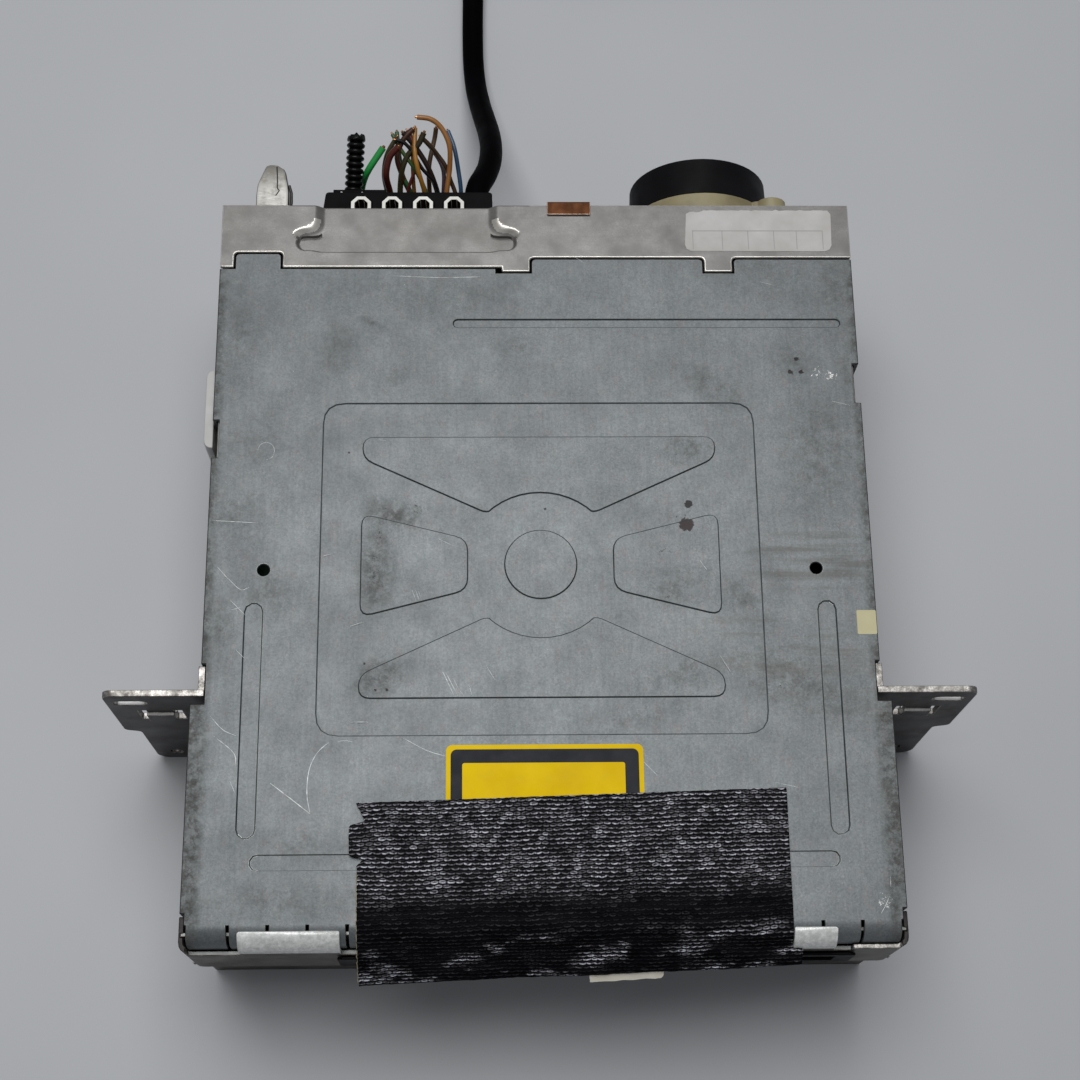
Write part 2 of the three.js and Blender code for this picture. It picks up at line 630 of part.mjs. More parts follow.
function bracket(side) {
  const inner = trayHalf + gap;
  const depth = [bracketFace, bracketFace + bracketSheet];
  const through = [depth[0] - overrun, depth[1] + overrun];
  const mirrored = (points) => outline(points.map(([x, z, radius]) => [side * x, z, radius]));
  const upright = plate(mirrored([
    [inner, bracketBottom],
    [bracketTail - 2 * sheet, bracketBottom, bracketCorner / 2],
    [bracketTail, bracketBottom + bracketCorner, bracketCorner / 2],
    [bracketTail, bracketStep, bracketCorner / 2],
    [bracketWing, bracketStep + bracketSheet, bracketCorner / 2],
    [bracketWing, bracketTop, bracketCorner],
    [inner, bracketTop],
  ]), "y", depth);
  const foot = block([side * inner, side * (inner + bracketSheet)], [bracketFace, bracketFace + bracketFoot],
    [bracketBottom + sheet, bracketTop - sheet]);
  const windows = lanceX.map((x, i) => {
    const span = i ? [x, x + lanceWindow] : [x - lanceWindow, x];
    return block(span.map((u) => side * u), through, lanceZ);
  });
  const tab = block(lanceX.map((x) => side * x), [bracketFace - lanceLift, bracketFace + weld],
    [lanceZ[0] + bracketSheet, lanceZ[1] - bracketSheet]);
  const lance = block(lanceX.map((x) => side * x), [bracketFace + bracketSheet - lanceLift, through[1]],
    [lanceZ[0] + 2 * bracketSheet, lanceZ[1] - 2 * bracketSheet]);
  const slotSpan = ordered(bracketSlot.x.map((x) => side * x));
  const slot = plate(stadium(slotSpan, bracketSlot.z), "y", through);
  const hole = rod("y", bracketHole.radius, [side * bracketHole.x, bracketHole.z], through, 14);
  const screwHoles = bracketScrewZ.map((z) =>
    rod("x", screwRadius + gap, [bracketScrewY, z],
      [side * (inner - overrun), side * (inner + bracketSheet + overrun)], 10));
  return cut(join(upright, foot, tab), ...windows, lance, slot, hole, ...screwHoles);
}
piece("mounting_bracket_left", bracket(-1), bareSteel);
piece("mounting_bracket_right", bracket(1), bareSteel);

// Screws through the side walls: a domed head outside, a shank that ends inside the tray
function wallScrew(side, y, z, seat) {
  const head = side * (seat + gap);
  const dome = new THREE.LatheGeometry([
    new THREE.Vector2(0, 0),
    new THREE.Vector2(screwHeadRadius, 0),
    new THREE.Vector2(screwHeadRadius, screwHeadHeight / 2),
    new THREE.Vector2(screwHeadRadius / 2, screwHeadHeight),
    new THREE.Vector2(0, screwHeadHeight),
  ], 12);
  dome.rotateZ((-side * halfTurn) / 2).translate(head, y, z);
  const shank = rod("x", screwRadius, [y, z], [side * (trayHalf - 4 * sheet), head + side * weld], 8);
  return join(solid(dome), shank);
}
[-1, 1].forEach((side) => {
  const sideName = side < 0 ? "left" : "right";
  bracketScrewZ.forEach((z, i) =>
    piece(`bracket_screw_${sideName}_${i + 1}`,
      wallScrew(side, bracketScrewY, z, trayHalf + gap + bracketSheet), brightSteel));
  piece(`case_screw_${sideName}`, wallScrew(side, caseScrewY, caseScrewZ, rearHalf), brightSteel);
});

// Strip of cloth tape over the front edge: flat on the lid, round the roll, then a flap that stands off
const tapeSheet = 0.6;
const tapeX = [-48.2, 62.5];
const tapeFront = 34;
const tapeRearY = behindFront(tapeFront);
const tapeWrap = halfTurn / 3;
const tapeFlap = 11.5;
const tapeDroop = 0.6; // the flap's slope, in radians

function clothTape() {
  const centre = [-bendLine, caseHeight - rollRadius];
  const inner = rollRadius + gap;
  const outer = inner + tapeSheet;
  const stop = halfTurn / 2 + tapeWrap;
  const end = (radius) => [
    centre[0] + radius * Math.cos(stop) - tapeFlap * Math.cos(tapeDroop),
    centre[1] + radius * Math.sin(stop) - tapeFlap * Math.sin(tapeDroop),
  ];
  return plate(outline([
    [tapeRearY, caseHeight + gap],
    ...arc(centre, inner, halfTurn / 2, stop, rollSteps),
    end(inner),
    end(outer),
    ...arc(centre, outer, stop, halfTurn / 2, rollSteps),
    [tapeRearY, caseHeight + gap + tapeSheet],
  ]), "x", tapeX);
}
piece("cloth_tape", clothTape(), blackCloth);

// Copper clip hooked over the rear edge
const clipX = [3.1, 15.4];
const clipSheet = 0.5;
const clipReach = 3.4;
const clipDrop = 12;

function contactClip() {
  const [low, high] = [caseHeight + gap, caseHeight + gap + clipSheet];
  const back = [rearFace, rearFace + clipSheet];
  return plate(outline([
    [rearReach - clipReach, low], [rearReach - clipReach, high], [back[1], high, clipSheet],
    [back[1], caseHeight - clipDrop], [back[0], caseHeight - clipDrop], [back[0], low],
  ]), "x", clipX);
}
piece("contact_clip", contactClip(), copper);

// Clear locating finger on the rear wall: a hollow-backed, tapered post
const fingerInset = 13.5;
const fingerX = fingerInset - rearHalf;
const fingerDrop = 13;
const fingerZ = caseHeight - fingerDrop;
const fingerLength = 16.3;
const fingerBase = [9.6, 12];
const fingerWaist = [9.2, 10.5];
const fingerTip = [4.4, 6];
const fingerFoot = [14, 17];

function locatingFinger() {
  const ring = (size, y) =>
    [[-1, -1], [-1, 1], [1, 1], [1, -1]].flatMap(([a, b]) => {
      const corner = Math.min(...size) / 5;
      const [u, v] = [(a * size[0]) / 2, (b * size[1]) / 2];
      const ends = [[u - a * corner, v], [u, v - b * corner]];
      return (a * b > 0 ? ends : [ends[1], ends[0]]).map(
        ([x, z]) => new THREE.Vector3(fingerX + x, rearFace + y, fingerZ + z));
    });
  const foot = block(about(fingerX, fingerFoot[0]), [rearFace, rearFace + 2 * sheet],
    about(fingerZ, fingerFoot[1]));
  const post = loft([
    ring(fingerBase, sheet), ring(fingerWaist, fingerLength / 2),
    ring(fingerTip, fingerLength - sheet), ring(fingerTip.map((v) => v - 2 * sheet), fingerLength),
  ]);
  const hollow = block(about(fingerX + 2 * sheet, 2 * sheet),
    [rearFace + 3 * sheet, rearFace + fingerLength / 2 - sheet],
    [fingerZ - fingerBase[1], fingerZ + fingerBase[1]]);
  return cut(join(foot, solid(post)), hollow);
}
piece("locating_finger", locatingFinger(), clearPlastic);

// White bumper on the left wall, bowed outwards
const bumperY = [35.4, 59];
const bumperDrops = [20, 4];
const bumperZ = fromTop(bumperDrops);
const bumperProud = 2.6;

function sideBumper() {
  const seat = -rearHalf - gap;
  const shape = new THREE.Shape();
  shape.moveTo(seat, bumperY[0]);
  shape.lineTo(seat, bumperY[1]);
  shape.quadraticCurveTo(seat - bumperProud, bumperY[1], seat - bumperProud, bumperY[1] - bumperProud);
  shape.lineTo(seat - bumperProud, bumperY[0] + bumperProud);
  shape.quadraticCurveTo(seat - bumperProud, bumperY[0], seat, bumperY[0]);
  shape.closePath();
  return plate(shape, "z", bumperZ);
}
piece("side_bumper", sideBumper(), whitePlastic);

// Harness connector: a header inside the wall, the plug latched on it, and four collars in the plug's top
const headerDepth = 20;
const headerWall = 2;
const plugDepth = 8.8; // the plug's back face behind the rear wall
const plugBack = rearReach + plugDepth;
const towerProud = 1.7;
const plugTower = { x: [-59, -43.5], back: plugBack + towerProud, z: [44, 60.5] };
const collarPitch = 9;
const collarFirstX = -50.7;
const collarBehind = 4.2; // a collar's middle behind the rear wall
const collarY = rearReach + collarBehind;
const collarAcross = 5.8;
const collarWall = 1;
const collarHeight = 5;
const collarProud = 0.5;
const octagonTurn = Math.PI / 8;

function connectorHeader() {
  const body = block([plugMouth.x[0] + gap, plugMouth.x[1] - gap], [rearReach - headerDepth, rearReach + weld],
    [plugMouth.z[0] + gap, plugMouth.z[1] - gap]);
  const cavity = block([plugMouth.x[0] + gap + headerWall, plugMouth.x[1] - gap - headerWall],
    [rearReach - headerDepth + headerWall, rearReach + overrun],
    [plugMouth.z[0] + gap + headerWall, plugMouth.z[1] - gap - headerWall]);
  const legs = block([plugMouth.x[0] + headerWall, plugMouth.x[1] - headerWall],
    [rearReach - headerDepth, rearReach - headerDepth + headerWall * 4],
    [boardUnderside + 2 * sheet, plugMouth.z[0] + headerWall]);
  return cut(join(body, legs), cavity);
}
piece("connector_header", connectorHeader(), blackPlastic);

const collarPlaces = spread(4, collarFirstX, collarFirstX + 3 * collarPitch);

function octagon(across, centre, span) {
  const geometry = new THREE.CylinderGeometry(across / 2 / Math.cos(octagonTurn),
    across / 2 / Math.cos(octagonTurn), span[1] - span[0], 8);
  geometry.rotateY(octagonTurn).rotateX(halfTurn / 2);
  return solid(geometry.translate(centre[0], centre[1], (span[0] + span[1]) / 2));
}

// Cut wires: name, radius, colour, and the route from a hole in the plug's back to the cut end
const wireSteps = 15;
const wireDepth = 1.7; // how deep a wire sits in its hole
const wireIn = plugBack - wireDepth;
const wires = [
  ["wire_green_thick", 1, 0x2f9a4a, [[-51.5, wireIn, 39], [-51.5, 119.3, 39.2], [-51.6, 122.6, 43.5],
    [-51.6, 124.2, 49.5], [-50.6, 125.2, 55], [-49, 126.2, 59.4], [-44.5, 131.3, 63.6]]],
  ["wire_red_thick", 1, 0x6d2a1e, [[-42, wireIn, 38], [-42, 119.3, 38.2], [-42.4, 123, 44], [-43.2, 124.6, 50.5],
    [-43.9, 126.2, 57.4], [-42.6, 129.6, 61.4], [-40.1, 131.3, 64]]],
  ["wire_olive", 0.7, 0x4a4a26, [[-45.5, wireIn, 35], [-45.5, 119.3, 35.2], [-44.8, 124.6, 40],
    [-44.2, 126.2, 46], [-44.8, 128.9, 52], [-43.7, 132.2, 58], [-40.6, 135.9, 62]]],
  ["wire_green_dark", 0.65, 0x2c5f2f, [[-37, wireIn, 40], [-37, 119.2, 40.2], [-36.8, 122.6, 45.5],
    [-37, 124.6, 50], [-39, 127.8, 53.2], [-40.1, 133.1, 56], [-40.9, 140.6, 57]]],
  ["wire_yellow", 0.7, 0xb07a22, [[-33, wireIn, 42], [-33, 119.3, 42.2], [-32.8, 122.5, 47.5],
    [-32.8, 123.5, 52], [-34.5, 127.5, 58], [-35.3, 131.4, 60], [-35.3, 138.9, 62]]],
  ["wire_orange_long", 0.75, 0xa8691f, [[-26.4, wireIn, 50], [-26.4, 119.3, 50.2], [-26, 123.4, 53],
    [-25.1, 129.7, 56.5], [-25.3, 134.8, 60], [-27.9, 139.3, 62.4], [-30.8, 141, 63.6], [-34.6, 141.5, 63.8]]],
  ["wire_violet", 0.65, 0x5c3a52, [[-27.4, wireIn, 38], [-27.4, 119.4, 38.2], [-27.2, 123.6, 42],
    [-27.2, 126, 46], [-27.3, 132.3, 50], [-30.6, 137.9, 52], [-33.8, 140.8, 54]]],
  ["wire_brown", 0.7, 0x5a3d22, [[-31.6, wireIn, 36], [-31.6, 119.4, 36.2], [-31.5, 123.6, 40.5],
    [-31.4, 126.4, 45.5], [-31.4, 132.1, 52], [-29.6, 139.6, 56], [-29.2, 141.4, 58]]],
  ["wire_blue", 0.65, 0x2b4a68, [[-22.6, wireIn, 42], [-22.6, 119.3, 42.2], [-22.2, 122.8, 46],
    [-21.9, 124.8, 49.5], [-22.7, 130.5, 53], [-23.9, 136.2, 56], [-25.7, 141.3, 56.5]]],
];

// Sheathed cable: radius, and the route from its boot on the plug to the surface behind the unit
const cableRadius = 3.5;
const bootWall = 1.3;
const bootLength = 2;
const cableIn = [-17.3, wireIn, 53.4];

function connectorPlug() {
  const seat = rearFace + weld;
  const shell = plate(outline([
    [plugX[0], seat], [plugX[1], seat], [plugX[1], plugBack, sheet], [plugX[0] + sheet, plugBack, sheet],
  ]), "z", plugZ);
  const tower = block(plugTower.x, [plugBack - weld, plugTower.back], plugTower.z);
  const core = block(
    [plugMouth.x[0] + 2 * gap + headerWall, plugMouth.x[1] - 2 * gap - headerWall],
    [rearReach - headerDepth + headerWall + gap, seat + weld],
    [plugMouth.z[0] + 2 * gap + headerWall, plugMouth.z[1] - 2 * gap - headerWall]);
  const pockets = collarPlaces.map((x) =>
    octagon(collarAcross + 2 * gap, [x, collarY], [plugZ[1] - collarHeight - gap, plugZ[1] + overrun]));
  const entry = [wireIn - gap, plugBack + overrun];
  const wireHoles = wires.map(([, radius, , [[x, , z]]]) => rod("y", radius + gap, [x, z], entry, 8));
  const [x, , z] = cableIn;
  const boot = rod("y", cableRadius + bootWall, [x, z], [plugBack - weld, plugBack + bootLength]);
  const cableHole = rod("y", cableRadius + gap, [x, z], entry, 16);
  return cut(join(shell, tower, core, boot), ...pockets, ...wireHoles, cableHole);
}
piece("connector_plug", connectorPlug(), blackPlastic);
wires.forEach(([name, radius, color, points]) => {
  const route = points.map((p) => new THREE.Vector3(...p));
  piece(name, tube(route, radius, 8, wireSteps), { color, roughness: 0.45, metalness: 0 });
});

collarPlaces.forEach((x, i) => {
  const span = [plugZ[1] - collarHeight, plugZ[1] + collarProud];
  const ring = cut(octagon(collarAcross, [x, collarY], span),
    octagon(collarAcross - 2 * collarWall, [x, collarY], [span[0] - overrun, span[1] + overrun]));
  piece(`plug_collar_${i + 1}`, ring, whitePlastic);
});

// Ribbed sleeve stub: a corrugated tube with an open bore, cut off short
const stubRadius = 2.2;
const stubRib = 0.45;
const stubBore = 1.3;
const stubRibs = 10;
const stubX = -53.4;
const stubZ = 57;
const stubClear = 0.7;
const stubWay = [1, 15.6, 6];
const stubFrom = new THREE.Vector3(stubX, plugTower.back + stubClear, stubZ);
const stubTo = new THREE.Vector3(...stubWay).add(stubFrom);

function ribbedStub() {
  const length = stubFrom.distanceTo(stubTo);
  const pitch = length / stubRibs;
  const outer = spread(2 * stubRibs + 1, 0, length).map(
    (y, i) => new THREE.Vector2(stubRadius + (i % 2 ? stubRib : -stubRib), y));
  const inner = spread(3, length, 0).map((y) => new THREE.Vector2(stubBore, y));
  const geometry = new THREE.LatheGeometry([...outer, ...inner, outer[0]], 8);
  const way = stubTo.clone().sub(stubFrom).setLength(pitch);
  geometry.applyQuaternion(
    new THREE.Quaternion().setFromUnitVectors(new THREE.Vector3(0, 1, 0), way.clone().normalize()));
  return solid(geometry.translate(stubFrom.x, stubFrom.y, stubFrom.z));
}
piece("ribbed_sleeve_stub", ribbedStub(), blackPlastic);

// Sheathed cable: out of the plug, down to the surface behind the unit, then a neat coil and a connector
const coilPitch = 7.6;
const coilStart = 44; // radius where the cable enters the coil
const coilLayerTurns = 1.5;
const coilStepsPerTurn = 24;
const coilEntry = [-18.6, 284]; // where the coil begins, level with its middle
const coilCentre = [coilEntry[0] + coilStart, coilEntry[1]];
const tailOut = 13.8; // how far outside its last turn the tail ends
const tailWait = 0.25; // share of the last half turn before the tail comes down
const cableRoute = [
  cableIn, [-17.3, 121.2, 53.4], [-16.7, 124.6, 52.8], [-15.2, 129, 50], [-13.6, 135.6, 45.2],
  [-12.8, 146, 37.6],
  [-13.4, 157, 28.8], [-14.8, 167.4, 20.6], [-16.4, 178, 13], [-17.8, 189, 7], [-18.6, 200, 4.2],
  [-18.8, 212, 3.6], [-18.7, 226, 3.5], [-18.6, 241, 3.5], [-18.6, 256, 3.5],
  [coilCentre[0] - coilStart, coilCentre[1] - 2 * cableRadius - gap, cableRadius],
].map((p) => new THREE.Vector3(...p));
piece("harness_cable", tube(cableRoute, cableRadius, 8, 28), blackPlastic);

const smooth = (t) => t * t * (3 - 2 * t);
function coilPoint(turns) {
  const reverse = coilLayerTurns;
  const whole = 2 * coilLayerTurns;
  const inward = Math.min(turns, reverse) - Math.max(0, Math.min(turns, whole) - reverse);
  const climb = smooth(Math.min(1, Math.max(0, (turns - reverse) / 0.5 + 0.5)));
  const tail = Math.max(0, turns - whole) / 0.5;
  const drop = smooth(Math.min(1, Math.max(0, (tail - tailWait) / (1 - tailWait))));
  const radius = coilStart - coilPitch * inward + tailOut * tail;
  const angle = halfTurn - fullTurn * turns;
  return new THREE.Vector3(
    coilCentre[0] + radius * Math.cos(angle),
    coilCentre[1] + radius * Math.sin(angle),
    cableRadius + coilPitch * (climb - drop),
  );
}
const coilTurns = 2 * coilLayerTurns + 0.5;
const coilSteps = Math.round(coilTurns * coilStepsPerTurn);
const spiral = spread(coilSteps + 1, 0, coilTurns).map(coilPoint);
const straight = [1, 2].map((k) => new THREE.Vector3(0, -k * cableRadius, 0));
const coilRoute = [
  ...straight.map((way) => spiral[0].clone().add(way)).reverse(),
  ...spiral,
  ...straight.map((way) => spiral.at(-1).clone().add(way)),
];
piece("harness_coil", tube(coilRoute, cableRadius, 6, coilSteps + 2), blackPlastic);

// The coil's least gap to itself, between points at least half a turn apart
const fine = spread(coilSteps * 4 + 1, 0, coilTurns).map(coilPoint);
const apart = coilStepsPerTurn * 2;
const leastGap = Math.min(...fine.flatMap((p, i) =>
  fine.slice(i + apart).map((q) => p.distanceTo(q) - 2 * cableRadius)));
console.log(`coil: least gap to itself ${leastGap.toFixed(2)} mm`);

// Connector on the cable's far end, lying beside the coil
const endPlug = { width: 15, length: 26, height: 11, neck: 8, neckWall: 1.2, step: 3 };

function cableConnector() {
  const [x, y] = [coilRoute.at(-1).x, coilRoute.at(-1).y - gap];
  const neckEnd = y - endPlug.neck;
  const neck = rod("y", cableRadius - gap + endPlug.neckWall, [x, cableRadius + endPlug.neckWall], [neckEnd, y], 10);
  const body = plate(rectangle(about(x, endPlug.width), [neckEnd - endPlug.length, neckEnd + weld], sheet),
    "z", [0, endPlug.height]);
  const latch = block(about(x, endPlug.width / 3), [neckEnd - endPlug.length / 2, neckEnd - sheet],
    [endPlug.height - weld, endPlug.height + sheet]);
  const mouth = block(about(x, endPlug.width - endPlug.step),
    [neckEnd - endPlug.length - overrun, neckEnd - endPlug.length + endPlug.neck],
    [endPlug.step / 2, endPlug.height - endPlug.step / 2]);
  return cut(join(neck, body, latch), mouth);
}
piece("cable_connector", cableConnector(), blackPlastic);

// Fan on the rear wall: a cream flange with ears, a black round housing, and a rotor on the housing's hub
const fanFlangeBack = 5;
const fanDepth = 11.4;
const fanWall = 1.6;
const fanEar = { reach: 24.4, radius: 4.4, hole: 1.6 };
const earTurns = [0.1, 0.6];
const fanHub = 7.4;
const bladeCount = 7;
const bladeTwist = 0.75; // lean of a blade at the hub, in radians
const bladeUntwist = 0.15; // how much less it leans at each of the next two rings
const bladeChord = 7;
const bladeThick = 1;
const bladeClear = 0.7;

const fan = new THREE.Group();
fan.position.set(fanX, rearFace, fanZ);
unit.add(fan);

function fanFlange() {
  const span = [0, fanFlangeBack];
  const round = rod("y", fanRadius + weld, [0, 0], span, 2 * ringSides);
  const ears = earTurns.map((turn) => {
    const [x, z] = [fanEar.reach * Math.cos(turn * fullTurn), fanEar.reach * Math.sin(turn * fullTurn)];
    const ear = join(rod("y", fanEar.radius, [x, z], span, 16),
      rod("y", fanEar.radius, [x * 0.84, z * 0.84], span, 16));
    return { ear, hole: rod("y", fanEar.hole, [x, z], [-overrun, fanFlangeBack + overrun], 10) };
  });
  const bore = rod("y", airwayRadius, [0, 0], [-overrun, fanFlangeBack + overrun], 2 * ringSides);
  return cut(join(round, ...ears.map((e) => e.ear)), bore, ...ears.map((e) => e.hole));
}
piece("fan_flange", fanFlange(), creamPlastic, fan);

const housingFrom = fanFlangeBack + gap;
const housingTo = housingFrom + fanDepth;

function fanHousing() {
  const shell = cut(
    rod("y", fanRadius, [0, 0], [housingFrom, housingTo], 2 * ringSides, fanRadius - weld),
    rod("y", fanRadius - fanWall, [0, 0], [housingFrom - overrun, housingTo + overrun], 2 * ringSides));
  const cup = rod("y", fanHub, [0, 0], [housingTo - fanWall, housingTo]);
  const pin = rod("y", sheet, [0, 0], [housingFrom + fanWall, housingTo - weld], 12);
  const strutLength = fanRadius - fanWall / 2;
  const struts = spread(4, 0, fullTurn).slice(0, 3).map((turn) => {
    const geometry = new THREE.BoxGeometry(strutLength, fanWall, fanWall);
    geometry.translate(strutLength / 2, housingTo - fanWall / 2, 0).rotateY(turn + octagonTurn);
    return solid(geometry);
  });
  return join(shell, cup, pin, ...struts);
}
piece("fan_housing", fanHousing(), blackPlastic, fan);

function fanRotor() {
  const from = housingFrom + fanWall / 2;
  const to = housingTo - fanWall - gap;
  const middle = (from + to) / 2;
  const hub = rod("y", fanHub, [0, 0], [from, to]);
  const bladeTip = fanRadius - fanWall - bladeClear;
  const blade = (turn) => {
    const rings = spread(3, fanHub - weld, bladeTip).map((radius, k) => {
      const pitch = bladeTwist - bladeUntwist * k;
      return [[-1, -1], [1, -1], [1, 1], [-1, 1]].map(([u, v]) => {
        const [chord, thick] = [(u * bladeChord) / 2, (v * bladeThick) / 2];
        return new THREE.Vector3(
          radius,
          chord * Math.cos(pitch) - thick * Math.sin(pitch),
          chord * Math.sin(pitch) + thick * Math.cos(pitch),
        );
      });
    });
    return solid(loft(rings).translate(0, middle, 0).rotateY(turn));
  };
  const blades = spread(bladeCount + 1, 0, fullTurn).slice(0, bladeCount).map(blade);
  const bore = rod("y", sheet + gap, [0, 0], [from - overrun, to + overrun], 12);
  return cut(join(hub, ...blades), bore);
}
piece("fan_rotor", fanRotor(), blackPlastic, fan);

// Main board on the tray's standoffs, with what stands on it
const boardSheet = 1.6;
const boardTop = boardUnderside + boardSheet;
const boardFront = 24;
const boardBack = 5.7;
const boardY = [behindFront(boardFront), rearReach - boardBack];
const damperInset = 10;
const damperX = deckHalf - damperInset; // from the spindle
const damperFront = 36;
const damperY = [behindFront(damperFront), deckRearY - damperInset];
const damperRadius = 5;
const damperHeight = 12;
const onBoard = boardTop + gap;

// Capacitors: x, distance in front of the rear wall's face, radius, height
const capacitors = [[-6, 18.7, 5, 20], [8, 16.7, 5, 20], [20, 24.7, 4, 15]];

function mainBoard() {
  const plateBody = block([-boardHalf, boardHalf], boardY, [boardUnderside, boardTop]);
  const cans = capacitors.map(([x, back, radius, height]) =>
    rod("z", radius, [x, rearReach - back], [boardTop - weld, onBoard + height], 16));
  const clearances = [-1, 1].flatMap((side) => damperY.map((y) =>
    rod("z", damperRadius + sheet, [driveX + side * damperX, y],
      [boardUnderside - overrun, boardTop + overrun], 16)));
  return join(cut(plateBody, ...clearances), ...cans);
}
piece("main_board", mainBoard(), boardGreen);

const tunerWidth = 22;
const tunerBacks = [40.7, 8.7];
const tuner = { x: [-boardHalf, tunerWidth - boardHalf], y: fromRear(tunerBacks), height: 22, lid: 0.6 };
piece("tuner_can", join(
  block(tuner.x, tuner.y, [onBoard, onBoard + tuner.height]),
  block([tuner.x[0] + sheet, tuner.x[1] - sheet], [tuner.y[0] + sheet, tuner.y[1] - sheet],
    [onBoard + tuner.height - weld, onBoard + tuner.height + tuner.lid]),
), frameZinc);

function aerialSocket() {
  const from = tuner.y[1] + gap;
  const barrel = rod("y", aerialRadius, [aerialX, aerialZ], [from, rearReach + 7 * sheet], 20);
  const bore = rod("y", aerialRadius - 1.5 * sheet, [aerialX, aerialZ],
    [rearReach - 3 * sheet, rearReach + 10 * sheet], 20);
  const pin = rod("y", sheet, [aerialX, aerialZ], [rearReach - 4 * sheet, rearReach + 5 * sheet], 10);
  return join(cut(barrel, bore), pin);
}
piece("aerial_socket", aerialSocket(), brightSteel);

const sinkWidth = 26;
const sinkBacks = [26.7, 5.7];
const sink = {
  x: [boardHalf - sinkWidth, boardHalf],
  y: fromRear(sinkBacks),
  height: 40,
  base: 3,
  fins: 6,
  fin: 1.4,
};

function heatSink() {
  const finSpan = [sink.x[0] + sink.fin / 2, sink.x[1] - sink.fin / 2];
  const slab = block(sink.x, [sink.y[0], sink.y[0] + sink.base], [onBoard, onBoard + sink.height]);
  const fins = spread(sink.fins, ...finSpan).map((x) =>
    block(about(x, sink.fin), [sink.y[0] + sink.base - weld, sink.y[1]], [onBoard, onBoard + sink.height]));
  return join(slab, ...fins);
}
piece("heat_sink", heatSink(), greyAluminium);

// Disc drive: a frame on four rubber dampers, carried in a group of its own over the spindle
const drive = new THREE.Group();
drive.position.set(driveX, 0, 0);
unit.add(drive);

const deckFront = 34;
const cheekFront = 6;
const deckY = [behindFront(deckFront), deckRearY];
const cheekY = [behindFront(cheekFront), deckRearY];
const carriageDrop = 8; // how far the cheeks, tabs and sled reach below the deck
const carriageLow = deckZ - carriageDrop;
const cheekRise = 20;
const cheekZ = [carriageLow, deckZ + cheekRise];
const spindleHole = 4;
const windowHalf = 15;
const windowFrontY = 12.5;
const windowBack = 7.5;
const windowY = [windowFrontY, deckRearY - windowBack];
const rodX = 26;
const rodDrop = 4.6;
const rodZ = deckZ - rodDrop;
const rodRadius = 1.5;
const screwX = 35;
const tabThick = 2;
const tabFrontY = 7;
const tabBackInset = 4;
const tabY = [tabFrontY, deckRearY - tabBackInset];
const legHalf = 4;
const rollerFront = 12;
const rollerY = behindFront(rollerFront);
const rollerRise = 8.6;
const rollerZ = deckZ + rollerRise;
const shaftRadius = 1.2;
const rubberRadius = 4;
const gearModule = 0.8;
const rollerTeeth = 24;
const driveTeeth = 12;
const gearWidth = 3;
const centreDistance = (gearModule * (rollerTeeth + driveTeeth)) / 2;
const gearLean = halfTurn / 4; // the drive gear lies behind and below the roller gear
const driveGearY = rollerY + centreDistance * Math.cos(gearLean);
const driveGearZ = rollerZ - centreDistance * Math.sin(gearLean);

const legX = (side) => side * damperX;
[-1, 1].forEach((side) => damperY.forEach((y, i) => {
  const name = `damper_${side < 0 ? "left" : "right"}_${i + 1}`;
  const [low, high] = [sheet + gap, sheet + gap + damperHeight];
  const waist = (low + high) / 2;
  const profile = [[0, low], [damperRadius, low], [damperRadius, waist - sheet], [damperRadius - sheet, waist],
    [damperRadius, waist + sheet], [damperRadius, high], [0, high]];
  const lathe = new THREE.LatheGeometry(profile.map((p) => new THREE.Vector2(...p)), 16);
  piece(name, solid(lathe.rotateX(halfTurn / 2).translate(legX(side), y, 0)), blackRubber, drive);
}));

function driveFrame() {
  const deck = block([-deckHalf, deckHalf], deckY, [deckZ, deckZ + sheet]);
  const cheeks = [-1, 1].map((side) =>
    block([side * deckHalf, side * (deckHalf - sheet)], cheekY, cheekZ));
  const legs = [-1, 1].flatMap((side) => damperY.map((y) => {
    const foot = sheet + 2 * gap + damperHeight;
    return join(
      block(about(legX(side), 2 * legHalf), about(y, 2 * legHalf), [foot, foot + sheet]),
      block([legX(side) + legHalf - sheet, legX(side) + legHalf], about(y, 2 * legHalf), [foot, deckZ + weld]),
    );
  }));
  const tabs = tabY.flatMap((y) => [-rodX, rodX, screwX].map((x) =>
    block(about(x, 4 * rodRadius), about(y, tabThick), [carriageLow, deckZ + weld])));
  const seats = tabY.flatMap((y) => [-rodX, rodX, screwX].map((x) =>
    rod("y", rodRadius + gap, [x, rodZ], [y - tabThick, y + tabThick], 12)));
  const window = block([-windowHalf, windowHalf], windowY, [deckZ - overrun, deckZ + overrun]);
  const hole = rod("z", spindleHole, [0, 0], [deckZ - overrun, deckZ + overrun]);
  const shaftHoles = [
    rod("x", shaftRadius + gap, [rollerY, rollerZ], [-deckHalf - overrun, deckHalf + overrun], 12),
    rod("x", 2 * shaftRadius, [driveGearY, driveGearZ], [deckHalf - sheet - overrun, deckHalf + overrun], 12),
  ];
  return cut(join(deck, ...cheeks, ...legs, ...tabs), ...seats, window, hole, ...shaftHoles);
}
piece("drive_frame", driveFrame(), frameZinc, drive);

// Spindle motor under the deck, and the turntable on its shaft with three sprung catches
const spindleDrop = 11;
const spindleRise = 10;
const spindleMotor = { radius: 12, low: deckZ - spindleDrop, shaft: 1, top: deckZ + spindleRise };
const turntable = { low: deckZ + 4 * sheet, top: slotMiddle - 2 * gap, radius: 15, nose: 7.2, noseHeight: 3 };

